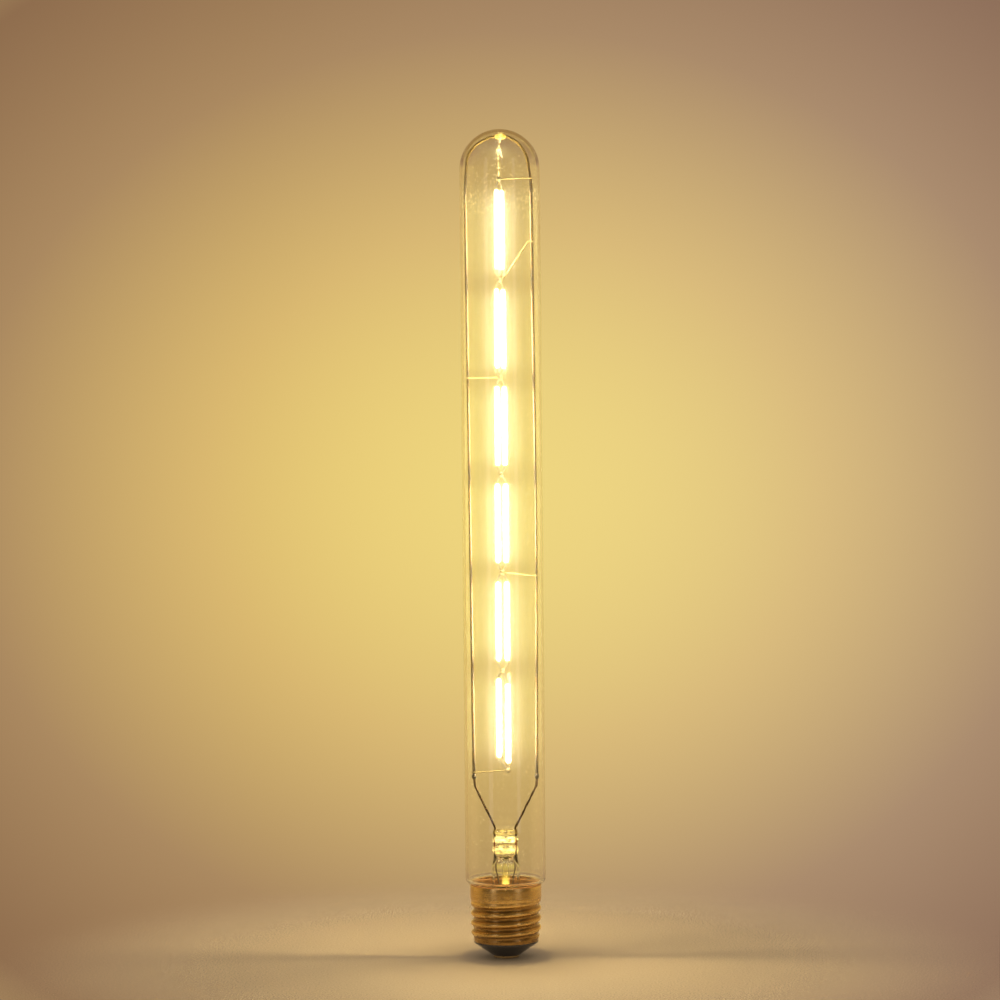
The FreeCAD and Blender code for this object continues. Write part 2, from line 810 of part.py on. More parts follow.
def make_board():
    """A round board with a hole for each lead."""
    board = Part.makeCylinder(board_radius, board_thickness, V(0, 0, board_height))
    for x, y, diameter in board_holes():
        foot = V(x, y, board_height - board_thickness)
        board = board.cut(Part.makeCylinder(diameter / 2 + hole_gap, board_thickness * 3, foot))
    return board


def make_board_solder():
    """A cone of solder round each lead under the board. The resistor's is on top of the board."""
    joints = []
    for x, y, diameter in board_holes():
        on_axis = x == 0 and y == 0
        top = V(x, y, board_top if on_axis else board_height)
        way = V(0, 0, 1) if on_axis else V(0, 0, -1)
        cone = Part.makeCone(solder_top_radius, solder_tip_radius, solder_height, top, way)
        lead = Part.makeCylinder(diameter / 2, solder_height * 4, top - way * solder_height * 2, way)
        joints.append(cone.cut(lead))
    return Part.makeCompound(joints)


def chip_resistors():
    """Small flat resistors side by side on the board."""
    size = chip_resistor_size
    parts = []
    for side in (-1, 1):
        corner = V(side * chip_resistor_spacing / 2 - size.x / 2, -size.y / 2, board_top)
        parts.append(Part.makeBox(size.x, size.y, size.z, chip_resistor_place + corner))
    return Part.makeCompound(parts)


# Assembly: glass, solder and weld metal are cut round what they hold, so that they meet face to face
(left_frame, left_path), (right_frame, right_path) = frame_wires()
left_lead, left_seal, left_outer = lead_runs(-1, left_foot)
right_lead, right_seal, right_outer = lead_runs(1, right_foot)
sealed = [left_lead, left_seal, left_outer, right_lead, right_seal, right_outer]

envelope = make_envelope()
keep("glass_envelope", envelope)
keep("glass_stem", make_stem().cut(sealed))
keep("exhaust_tube", make_exhaust())
keep("frame_wire_left", left_frame)
keep("frame_wire_right", right_frame)
keep("inner_lead_left", left_lead)
keep("inner_lead_right", right_lead)
keep("seal_wire_left", left_seal)
keep("seal_wire_right", right_seal)
keep("outer_lead_left", left_outer)
keep("outer_lead_right", right_outer)

for name, foot, held in (
    ("weld_bead_left", left_foot, [left_frame, left_lead]),
    ("weld_bead_right", right_foot, [right_frame, right_lead]),
):
    bead = egg(foot, weld_bead_radius, weld_bead_half_height, V(0, 0, 1))
    keep(name, bead.cut(held))

hanger_start = top_bead - V(0, 0, top_bead_radius * hanger_depth)
knot_middle = V(knot_x, 0, top_bead.z - knot_drop)
hanger_points = [hanger_start, knot_middle, joint_point(0) + V(0, 0, tab_reach)]
hanger, _ = bent_wire(hanger_points, [0, hanger_radius, 0], hanger_diameter)
knot = egg(knot_middle, knot_radius, knot_half_height, V(0, 0, 1))
keep("hanger_wire", hanger.fuse(knot))
bead = egg(top_bead, top_bead_radius, top_bead_half_length, V(1, 0, 0))
keep("top_bead", bead.cut([left_frame, right_frame, hanger]))

cross_wires = []
for k, drop in enumerate(cross_wire_drop):
    joint = joint_point(2 * k)
    side, path = ((1, right_path), (-1, left_path))[k % 2]
    height = joint.z + drop
    start = joint + V(side * sliding_gap, 0, 0)
    wire = hooked_wire(start, point_at(path, height), side, height, cross_wire_diameter, cross_wire_run)
    cross_wires.append(wire)
    keep(f"cross_wire_{len(cross_wires)}", wire)
stay_end = joint_point(stay_level) + stay_offset
stay_top = stay_end.z + stay_rise
stay = hooked_wire(stay_end, point_at(right_path, stay_top), 1, stay_top, stay_diameter, stay_run)
keep("slanted_stay", stay)

tabs = [joint_tabs(i) for i in range(levels + 1)]
nuggets = []
for i, group in enumerate(tabs):
    keep(f"filament_tabs_{i + 1}", group)
    ball = Part.makeSphere(nugget_radius, joint_point(i))
    nuggets.append(ball.cut(group.Solids + cross_wires + [hanger, stay]))
keep("string_welds", Part.makeCompound(nuggets))
for level in range(levels):
    for side, word in ((-1, "left"), (1, "right")):
        keep(f"filament_{level + 1}_{word}", make_filament(level, side))

resistor = make_fusible_resistor()
neutral = make_neutral_wire()
tip_hole = resistor_wire_diameter / 2 + contact_edge * 2
tip = Part.makeCylinder(tip_hole, contact_thickness)
keep("screw_shell", make_shell())
keep("base_insulator", make_insulator())
keep("centre_contact", make_contact())
keep("tip_solder", tip.cut(resistor))
keep("cement_ring", make_cement().cut(envelope))
keep("driver_board", make_board())
keep("bridge_rectifier", smd_body(rectifier_size, rectifier_place, 2))
keep("driver_chip", smd_body(chip_size, chip_place, 4))
keep("chip_resistors", chip_resistors())
keep("smoothing_capacitor", make_capacitor())
keep("fusible_resistor", resistor)
keep("neutral_wire", neutral)
keep("shell_solder", make_shell_solder(neutral))
keep("board_solder", make_board_solder())

for name, shape in nodes.items():
    shape.exportStep(f"parts/{name}.step")
    print(f"{name}: {len(shape.Solids)} solid, {shape.Volume:.2f} mm3, valid {shape.isValid()}")
print(f"{len(nodes)} nodes")
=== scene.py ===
# %% [markdown]
# # A tubular filament lamp
# The lamp is a clear blown tube with a screw cap. Inside it, two long wires stand like a hairpin and carry
# a string of lit filaments. The pieces come from a frame in metres, with Z along the glass and the tip of
# the cap at the origin. Thin wires keep the frame's own meshes and only get a finish. Glass, filaments and
# the rolled screw shell are made again here as smooth surfaces, because light bends in glass and shows
# every flat facet.

# %% The frame
import math
from collections import namedtuple

import bpy
import numpy as np
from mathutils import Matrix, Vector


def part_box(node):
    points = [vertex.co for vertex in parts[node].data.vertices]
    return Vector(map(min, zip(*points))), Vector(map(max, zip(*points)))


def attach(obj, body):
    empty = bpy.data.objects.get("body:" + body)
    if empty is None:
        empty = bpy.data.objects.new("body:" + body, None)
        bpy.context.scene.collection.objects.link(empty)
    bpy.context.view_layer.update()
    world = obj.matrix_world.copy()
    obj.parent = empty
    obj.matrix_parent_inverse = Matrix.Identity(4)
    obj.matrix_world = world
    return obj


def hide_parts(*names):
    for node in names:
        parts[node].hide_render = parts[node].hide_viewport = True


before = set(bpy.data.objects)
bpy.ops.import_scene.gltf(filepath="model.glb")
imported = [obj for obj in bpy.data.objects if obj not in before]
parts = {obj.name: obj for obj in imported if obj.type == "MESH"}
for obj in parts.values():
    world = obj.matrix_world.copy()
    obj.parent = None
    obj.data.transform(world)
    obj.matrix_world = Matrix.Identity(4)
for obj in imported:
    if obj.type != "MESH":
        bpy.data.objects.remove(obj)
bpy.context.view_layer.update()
MM = 0.001

# %% [markdown]
# ## How a surface is made
# Each new surface is a stack of rings. A ring is a row of points that goes once round the piece, and two
# neighbouring rings are joined by a band of quads. The rings are worked out as whole arrays, so a formula
# in the radius or the height shapes the piece everywhere at once. A tip closes an end with a fan.


# %% From rings to corners
def band_corners(first, second):
    """The quads between two stacks of rings: two corners of a ring, and the same two of the next."""
    ahead = np.roll(first, -1, axis=-1)
    beyond = np.roll(second, -1, axis=-1)
    return np.stack([first, ahead, beyond, second], -1).reshape(-1, 4)


def fan_corners(tip, ring):
    """Triangles from a tip to each edge of a ring."""
    return np.stack([np.full_like(ring, tip), np.roll(ring, -1), ring], -1)


def enclosed(points, quads, fans):
    """Six times the volume inside a skin: the sum of each triangle's triple product with the origin."""
    triangles = np.concatenate([quads[:, [0, 1, 2]], quads[:, [0, 2, 3]], fans])
    a, b, c = points[triangles].transpose(1, 0, 2)
    return np.einsum("ij,ij->", a, np.cross(b, c))


# %% [markdown]
# ## From corners to a piece
# The arrays go into a mesh in one call each, which is far quicker than adding faces one by one. A piece
# may also get a map of its surface: how far round it, and how far along it, each point is. Finishes read
# that map where a pattern follows the piece.


# %% Meshes
def piece_of(name, points, quads, fans, places=None, sharp=35):
    """An object in millimetres, turned so that its skin points outwards, with a map of its surface."""
    if enclosed(points, quads, fans) < 0:
        quads, fans = quads[:, ::-1], fans[:, ::-1]
    corners = np.concatenate([quads.ravel(), fans.ravel()]).astype(np.int32)
    sizes = np.concatenate([np.full(len(quads), 4), np.full(len(fans), 3)])
    starts = np.concatenate([[0], np.cumsum(sizes)[:-1]]).astype(np.int32)
    mesh = bpy.data.meshes.new(name)
    mesh.vertices.add(len(points))
    mesh.vertices.foreach_set("co", (points * MM).astype(np.float32).ravel())
    mesh.loops.add(len(corners))
    mesh.loops.foreach_set("vertex_index", corners)
    mesh.polygons.add(len(starts))
    mesh.polygons.foreach_set("loop_start", starts)
    mesh.update(calc_edges=True)
    if places is not None:
        layer = mesh.uv_layers.new(name="surface")
        layer.data.foreach_set("uv", places[corners].astype(np.float32).ravel())
    mesh.shade_smooth()
    mesh.set_sharp_from_angle(angle=math.radians(sharp))
    made = bpy.data.objects.new(name, mesh)
    bpy.context.scene.collection.objects.link(made)
    return made


def skin(name, rings, tips=None, along=None, sharp=35):
    """A closed skin over rings (rows, columns, 3). With no tips, the last ring is joined to the first."""
    rows, columns = rings.shape[:2]
    index = np.arange(rows * columns).reshape(rows, columns)
    points = rings.reshape(-1, 3)
    if tips is None:
        quads = band_corners(index, np.roll(index, -1, axis=0))
        fans = np.zeros((0, 3), int)
    else:
        points = np.concatenate([points, np.array(tips, float)])
        quads = band_corners(index[:-1], index[1:])
        last = rows * columns
        fans = np.concatenate([fan_corners(last, index[0]), fan_corners(last + 1, index[-1][::-1])])
    places = None
    if along is not None:
        turn = np.broadcast_to(np.linspace(0, 1, columns, endpoint=False), (rows, columns))
        way = np.broadcast_to(np.asarray(along)[:, None], (rows, columns))
        places = np.stack([turn, way], -1).reshape(-1, 2)
        if tips is not None:
            places = np.concatenate([places, [[0.5, along[0]], [0.5, along[-1]]]])
    return piece_of(name, points, quads, fans, places, sharp)


# %% [markdown]
# ## Outlines
# Most pieces of a lamp are round, so an outline of radius and height is turned about Z. An outline is
# drawn as a draughtsman would: arcs for the bends and straight runs between them.


# %% Rings from an outline
def angles(columns):
    """Even angles once round."""
    return np.linspace(0, 2 * np.pi, columns, endpoint=False)


def wheel(radii, heights, columns):
    """Rings round Z: x is the radius times the cosine of the angle, y is the radius times its sine."""
    turn = angles(columns)
    radii = np.broadcast_to(np.asarray(radii, float).reshape(len(heights), -1), (len(heights), columns))
    z = np.broadcast_to(np.asarray(heights, float)[:, None], radii.shape)
    return np.stack([radii * np.cos(turn), radii * np.sin(turn), z], -1)


def arc(centre, radius, start, end, count):
    """Points of an outline: centre plus the radius times the cosine and sine of angles in degrees."""
    turn = np.radians(np.linspace(start, end, count))
    return np.array(centre) + radius * np.stack([np.cos(turn), np.sin(turn)], -1)


def run(start, end, count):
    """Points evenly spaced from one place to another, without the last."""
    share = np.linspace(0, 1, count, endpoint=False)[:, None]
    return np.array(start) + share * (np.array(end) - np.array(start))


def worn(name, piece, *replaced, slot):
    """Files a finished piece: it rides on the lamp and stands for the named parts."""
    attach(piece, "root")
    if replaced:
        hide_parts(*replaced)
    print(f"{name}: {len(piece.data.polygons)} faces")
    return piece


# %% [markdown]
# ## The blown tube
# A glass tube is drawn, so its wall has faint streaks along its length, and its end is blown to a dome.
# The outline runs from the top of the dome down the outside, round the shoulder and the neck, and back
# up the inside. Turned round Z, it makes one closed wall of even thickness. The streaks are a few waves
# round the tube, some hundredths of a millimetre deep, and they break up the reflections.

# %% Glass envelope
glass_low, glass_high = (np.array(corner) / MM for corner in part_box("glass_envelope"))
glass_radius = glass_high[0]
glass_wall = 1.0
bore_radius = glass_radius - glass_wall
dome_height = glass_high[2] - glass_radius
shoulder_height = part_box("cement_ring")[1].z / MM
shoulder_bend = 2.4
neck_radius = 11.25
neck_bore = 10.35
neck_bend = 0.5
neck_foot = glass_low[2]
streak_depth = 0.014
streak_count = 14
outer_waves, inner_waves = (5, 30), (6, 46)  # fewest and most waves round the tube


def envelope_outlines():
    """The wall as (radius, height): down the outside and round the neck, then up the inside."""
    floor = shoulder_height + glass_wall
    lip = (neck_radius - neck_bore) / 2
    inner_bend = shoulder_bend - glass_wall
    outside = np.concatenate(
        [
            arc((0, dome_height), glass_radius, 89, 0, 60)[:-1],
            run((glass_radius, dome_height), (glass_radius, shoulder_height + shoulder_bend), 60),
            arc((glass_radius - shoulder_bend, shoulder_height + shoulder_bend), shoulder_bend, 0, -90, 14),
            arc((neck_radius + neck_bend, shoulder_height - neck_bend), neck_bend, 90, 180, 6),
            arc((neck_bore + lip, neck_foot + lip), lip, 0, -180, 8),
            arc((neck_bore + glass_wall, shoulder_height), glass_wall, 180, 90, 8),
        ]
    )
    inside = np.concatenate(
        [
            arc((bore_radius - inner_bend, floor + inner_bend), inner_bend, -90, 0, 12)[:-1],
            run((bore_radius, floor + inner_bend), (bore_radius, dome_height), 60),
            arc((0, dome_height), bore_radius, 0, 89, 60),
        ]
    )
    return outside, inside


def streaks(turn, waves, seed):
    """A sum of cosines round the tube, each with its own whole number of waves, place and share."""
    draw = np.random.default_rng(seed)
    counts = draw.integers(waves[0], waves[1], streak_count)[:, None]
    start = draw.uniform(0, 2 * np.pi, (streak_count, 1))
    share = draw.uniform(0.3, 1.0, (streak_count, 1))
    return streak_depth * (share * np.cos(counts * turn + start)).sum(0) / share.sum()


def make_envelope(columns=288):
    """Rings of the outline, shifted by streaks where the tube is wide. The map is 1 on the lining."""
    outside, inside = envelope_outlines()
    outline = np.concatenate([outside, inside])
    lining = np.arange(len(outline)) >= len(outside)
    wide = np.clip((outline[:, 0] - neck_radius) / (bore_radius - neck_radius), 0, 1)[:, None]
    turn = angles(columns)
    inner, outer = streaks(turn, inner_waves, seed=3), streaks(turn, outer_waves, seed=8)
    shift = np.where(lining[:, None], inner, outer)
    rings = wheel(outline[:, :1] + wide * shift, outline[:, 1], columns)
    tips = [(0, 0, glass_high[2]), (0, 0, dome_height + bore_radius)]
    return skin("glass_tube", rings, tips, along=lining.astype(float))


tube = worn("glass tube", make_envelope(), "glass_envelope", slot="clear_glass")

# %% [markdown]
# ## The stem
# The stem is a glass tube flared at its foot, where it is melted to the neck. Its upper end was pressed
# flat round the two lead wires by hot jaws, which leave bulging bands. The section goes from a circle to
# a flat oval: both half-widths change with the height, and so does the roundness of the corners.

# %% Sizes of the stem
press_low, press_high = 38.2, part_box("glass_stem")[1].z / MM
press_half = np.array([4.45, 1.6])
press_power = 2.7  # how square the pressed glass is: 2 is an oval
press_rounding = np.array([0.9, 0.7])  # how far its top edge rounds in
crown_share = 0.97  # how far up the press that rounding starts
stem_radius = 5.2
stem_wall = 0.9
flare_bend = 5.15
stem_foot = neck_foot - stem_wall
closing_foot = 32.5
bore_closing, bore_top = closing_foot - 1.2, press_low - 1.0
bore_top_half = np.array([3.2, 1.5])
bands = ((0.0, 0.355), (0.46, 0.26), (0.81, 0.12))  # foot and thickness, as shares of the press
band_reach = 0.35
lump_depth, lump_waves = 0.028, 9
lump_sides = (0.3, 1.0)  # how much of the lumps shows across the press and through it
lump_fade_foot, lump_fade_top = 1.5, 1.0
bore_tip = 0.05  # how far the bore's closing point stands over its last ring
print(f"press from {press_low} to {press_high:.1f} mm, {2 * press_half[0]:.1f} mm wide")


# %% Squared ovals
def eased(share):
    """Goes smoothly from 0 to 1: three squares of the share less two cubes."""
    share = np.clip(share, 0, 1)
    return share**2 * (3 - 2 * share)


def ovals(halves, heights, power, columns):
    """Ovals that get squarer as the power rises from 2: x is a half-width times the cosine to the power of
    two over that number, with its sign kept, and y the same with the sine."""
    turn = angles(columns)
    cosine, sine = np.cos(turn), np.sin(turn)
    power = 2 / np.asarray(power, float).reshape(-1, 1)
    x = halves[:, :1] * np.sign(cosine) * np.abs(cosine) ** power
    y = halves[:, 1:] * np.sign(sine) * np.abs(sine) ** power
    z = np.broadcast_to(np.asarray(heights, float)[:, None], x.shape)
    return np.stack([x, y, z], -1)


# %% Stem and press
def band_bulge(share):
    """How far the pressed bands stand out: over each band, the square root of one less the square."""
    bulge = np.zeros_like(share)
    for foot, thick in bands:
        across = (share - foot - thick / 2) / (thick / 2)
        bulge += np.sqrt(np.clip(1 - across**2, 0, 1))
    return band_reach * bulge


def lumps(turn, height, seed=11):
    """Uneven pressing: a sum of waves that each run round the press and along it."""
    draw = np.random.default_rng(seed)
    shift = np.zeros((len(height), len(turn)))
    for _ in range(lump_waves):
        around, along = draw.integers(2, 7), draw.uniform(0.9, 2.6)
        start, share = draw.uniform(0, 2 * np.pi), draw.uniform(0.4, 1.0)
        shift += share * np.cos(around * turn[None, :] + along * height[:, None] + start)
    return lump_depth * shift


def flare_outline(bend):
    """The flare's quarter circle about one centre, from the neck up to the stem."""
    return arc((stem_radius + flare_bend, neck_foot + flare_bend), bend, -90, -180, 20)


def stem_outside(columns):
    """From the flare up: a round stem that closes to the press, its bands, and a rounded top."""
    foot = [(neck_radius, stem_foot + stem_wall / 2), (neck_radius, neck_foot)]
    flare = np.concatenate([foot, flare_outline(flare_bend)])
    rise = np.linspace(0, 1, 40)
    closing = stem_radius + (press_half - stem_radius) * eased(rise)[:, None]
    closing_height = closing_foot + (press_low - closing_foot) * rise
    share = np.linspace(0.01, crown_share, 110)
    press = press_half + band_bulge(share)[:, None]
    top = np.linspace(0, 1, 10)
    crown = press_half - press_rounding * (1 - np.sqrt(1 - top[:, None] ** 2))
    share = np.concatenate([share, crown_share + (1 - crown_share) * top])
    press_height = press_low + (press_high - press_low) * share
    halves = np.concatenate([np.repeat(flare[:, :1], 2, axis=1), closing, press, crown])
    heights = np.concatenate([flare[:, 1], closing_height, press_height])
    squarer = 2 + (press_power - 2) * eased(rise)
    power = np.concatenate([np.full(len(flare), 2), squarer, np.full(len(share), press_power)])
    rings = ovals(halves, heights, power, columns)
    firm = eased((heights - press_low + lump_fade_foot) / lump_fade_foot)
    firm = firm * eased((press_high - heights) / lump_fade_top)
    uneven = firm[:, None] * lumps(angles(columns), heights) / press_half[1]
    rings[..., :2] *= 1 + uneven[..., None] * lump_sides
    return rings


def stem_inside(columns):
    """From the flat end of the bore down to the flare, one wall inside the outside."""
    ceiling = np.linspace(1, 0, 30)
    bore = stem_radius - stem_wall
    narrow = bore + (bore_top_half - bore) * eased(ceiling)[:, None]
    narrow_height = bore_closing + (bore_top - bore_closing) * ceiling
    lining = np.concatenate([flare_outline(flare_bend + stem_wall)[::-1], [(neck_radius, stem_foot)]])
    halves = np.concatenate([narrow, np.repeat(lining[:, :1], 2, axis=1)])
    heights = np.concatenate([narrow_height, lining[:, 1]])
    return ovals(halves, heights, np.full(len(halves), 2), columns)


def make_stem(columns=120):
    """Down the inside from the end of the bore, and up the outside to the top of the press."""
    rings = np.concatenate([stem_inside(columns), stem_outside(columns)])
    tips = [(0, 0, bore_top + bore_tip), (0, 0, press_high)]
    return skin("pressed_stem", rings, tips, sharp=50)


stem = worn("stem", make_stem(), "glass_stem", slot="stem_glass")

# %% [markdown]
# ## The exhaust tube and the top bead
# Air was pumped out through a thin tube, which was then melted shut, so its tip is a thick rounded end.
# At the top, a drop of glass holds both frame wires apart. It is an egg with a few dents, because it
# set while it turned in the flame.


# %% Exhaust tube and bead
exhaust_wall = 0.6
into_press = 0.3
solid_tip, bore_taper = 1.1, 2.2  # heights over the tip and over the solid glass, in outer and bore radii
bead_dents, bead_taper = 0.05, 0.04
bead_tip = 0.04  # angle between the X axis and the ring next to a tip


def make_exhaust(columns=48):
    """A wall with a half-round outer tip and, above it, a rounded end to its bore."""
    low, high = (corner.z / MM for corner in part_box("exhaust_tube"))
    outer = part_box("exhaust_tube")[1].x / MM
    bore = outer - exhaust_wall
    rim = high + into_press
    melted = low + outer * solid_tip
    bore_end = melted + bore * bore_taper
    outline = np.concatenate(
        [
            arc((0, low + outer), outer, -86, 0, 18),
            run((outer, melted + 1), (outer, rim), 6),
            [(outer, rim), (bore, rim)],
            run((bore, high), (bore, bore_end + bore * 0.2), 6),
            arc((0, bore_end), bore, 0, -86, 12),
        ]
    )
    tips = [(0, 0, low), (0, 0, bore_end - bore)]
    return skin("melted_exhaust_tube", wheel(outline[:, :1], outline[:, 1], columns), tips)


def make_bead(columns=64, rows=48):
    """An egg along X: half-widths times sine and cosine, shifted by slow waves in both angles."""
    low, high = (np.array(corner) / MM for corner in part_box("top_bead"))
    middle, half = (low + high) / 2, (high - low) / 2
    across = np.linspace(bead_tip, np.pi - bead_tip, rows)[:, None]
    turn = angles(columns)[None, :]
    dents = bead_dents * np.cos(3 * turn + 2 * across) * np.sin(across)
    swell = 1 + dents - bead_taper * np.cos(2 * across)
    x = middle[0] + half[0] * np.cos(across) + 0 * turn
    y = middle[1] + half[1] * swell * np.sin(across) * np.cos(turn)
    z = middle[2] + half[2] * swell * np.sin(across) * np.sin(turn)
    tips = [(high[0], middle[1], middle[2]), (low[0], middle[1], middle[2])]
    return skin("glass_bead", np.stack([x, y, z], -1), tips)


exhaust = worn("exhaust tube", make_exhaust(), "exhaust_tube", slot="stem_glass")
bead = worn("bead", make_bead(), "top_bead", slot="bead_glass")

# %% [markdown]
# ## The filaments
# A filament is a thin strip with a row of small light-emitting chips, dipped in yellow phosphor and
# silicone. The coat is thickest in the middle of each face, thin at the edges, and swells a little over
# every chip. Each filament stands where the frame has it: its box gives the ends, and the angle of its
# pair about Z comes from the level.

# %% Filament bars
levels = 6
filament_half = np.array([0.85, 0.6])
pair_turn = np.linspace(56.0, 12.0, levels)
chips = 28
chip_swell = 0.018
bar_power = 3.2  # how square the coat is: 2 is an oval
end_length = 0.9
end_gap, end_share = 0.01, 0.002  # the last ring's distance from the tip, and its least square


def make_filament(name, turn_degrees, columns=32, rows=226):
    """A squared oval along Z: its half-widths ripple with the chips and close in a quarter ellipse."""
    low, high = (np.array(corner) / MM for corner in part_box(name))
    middle = (low + high) / 2
    along = np.linspace(low[2] + end_gap, high[2] - end_gap, rows)
    from_end = np.minimum(along - low[2], high[2] - along)
    closing = np.sqrt(np.clip(1 - (1 - np.clip(from_end / end_length, 0, 1)) ** 2, end_share, 1))
    share = (along - low[2]) / (high[2] - low[2])
    ripple = 1 + chip_swell * np.cos(2 * np.pi * chips * share)
    halves = filament_half * (closing * ripple)[:, None] / (1 + chip_swell)
    x, y, z = ovals(halves, along, np.full(rows, bar_power), columns).transpose(2, 0, 1)
    turn = math.radians(turn_degrees)
    turned_x = x * math.cos(turn) - y * math.sin(turn) + middle[0]
    turned_y = x * math.sin(turn) + y * math.cos(turn) + middle[1]
    tips = [(middle[0], middle[1], low[2]), (middle[0], middle[1], high[2])]
    return skin("coated_" + name, np.stack([turned_x, turned_y, z], -1), tips, along=share, sharp=60)


filaments = []
for level in range(levels):
    for side in ("left", "right"):
        node = f"filament_{level + 1}_{side}"
        bar = worn(node, make_filament(node, pair_turn[level]), node, slot="filament_coat")
        filaments.append(bar)

# %% [markdown]
# ## The rolled screw shell
# The cap is one brass sheet with a round thread rolled into it, inside and out. Its radius is a base
# radius plus a wave that turns with the helix. The wave is made of two arcs, and it fades out over one
# turn at the foot and below the plain collar. The inside is the same surface, one sheet further in.

# %% Screw shell
shell_low, shell_high = (np.array(corner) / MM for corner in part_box("screw_shell"))
thread_pitch = 3.629
crest_radius, root_radius = 13.1, 12.1
collar_radius = shell_high[0]
collar_height = 5.2
collar_bend = 0.15
shell_wall = 0.3
thread_end = 0.1  # how far below the collar's step the thread's rings end


def knuckle(turns):
    """Height over the middle line: an arc over each crest and the same arc, upside down, in each root."""
    quarter = thread_pitch / 4
    depth = (crest_radius - root_radius) / 2
    form = (quarter**2 + depth**2) / (2 * depth)
    offset = np.mod(turns, 1) * thread_pitch
    offset = np.minimum(offset, thread_pitch - offset)
    side = np.where(offset <= quarter, 1.0, -1.0)
    offset = np.where(side < 0, 2 * quarter - offset, offset)
    return side * (np.sqrt(form**2 - offset**2) - (form - depth))


def thread_rings(heights, inset, columns):
    """Radius at each height and angle: the eased base, plus the knuckle form where the thread is full."""
    foot, head = shell_low[2], shell_high[2] - collar_height + shell_wall
    middle = (crest_radius + root_radius) / 2
    fade_foot = eased((heights - foot) / thread_pitch)[:, None]
    fade_head = eased((head - heights) / thread_pitch)[:, None]
    turns = heights[:, None] / thread_pitch - angles(columns)[None, :] / (2 * np.pi)
    base = root_radius + (middle - root_radius) * fade_foot + (crest_radius - middle) * (1 - fade_head)
    return wheel(base + knuckle(turns) * fade_foot * fade_head - inset, heights, columns)


def make_shell(columns=240):
    """Up the outside of the thread and collar, over a rounded rim, and down the inside."""
    foot, top = shell_low[2], shell_high[2]
    step = top - collar_height
    half = shell_wall / 2
    climb = np.linspace(foot, step - thread_end, 110)
    bend = arc((collar_radius - collar_bend, step + collar_bend), collar_bend, -90, 0, 5)
    rim = arc((collar_radius - half, top - half), half, 0, 180, 9)
    seat = step + shell_wall
    under = np.array([(collar_radius - shell_wall, seat + thread_end), (crest_radius - shell_wall, seat)])
    collar = np.concatenate([bend, run(bend[-1], rim[0], 4)[1:], rim, under])
    rings = [thread_rings(climb, 0, columns), wheel(collar[:, :1], collar[:, 1], columns)]
    rings.append(thread_rings(climb[::-1] + thread_end / 2, shell_wall, columns))
    return skin("rolled_screw_shell", np.concatenate(rings), sharp=40)


shell = worn("screw shell", make_shell(), "screw_shell", slot="shell_brass")

# %% [markdown]
# ## Writing shader maths
# A finish is a small graph of nodes. To keep it readable, a socket is wrapped in a class whose operators
# add Math nodes, so that a formula such as `1 - mask * 0.5` can be written as it is. Every other node
# comes from one method: its type, its settings, and then the values or links of its sockets.


# %% Sockets with operators
class Sock:
    """An output socket that takes part in sums."""

    def __init__(self, finish, socket):
        self.finish, self.socket = finish, socket

    def math(self, operation, *others):
        values = dict(enumerate((self, *others)))
        return self.finish.add("Math", {"operation": operation}, values)

    def __add__(self, other):
        return self.math("ADD", other)

    def __sub__(self, other):
        return self.math("SUBTRACT", other)

    def __rsub__(self, other):
        return self.finish.add("Math", {"operation": "SUBTRACT"}, {0: other, 1: self})

    def __mul__(self, other):
        return self.math("MULTIPLY", other)

    def __truediv__(self, other):
        return self.math("DIVIDE", other)

    def __pow__(self, other):
        return self.math("POWER", other)

    __radd__, __rmul__ = __add__, __mul__

    def kept(self, low, high):
        """The value, held between two limits."""
        return self.math("MAXIMUM", low).math("MINIMUM", high)


# %% [markdown]
# ## A finish and its graph
# A finish holds one material, its main shader and the methods that add nodes. A value that is the same
# all over a piece is set on the shader's own socket. What changes over the surface is fed to it: noise in
# the piece's own coordinates, a blend of two colours, a bump.


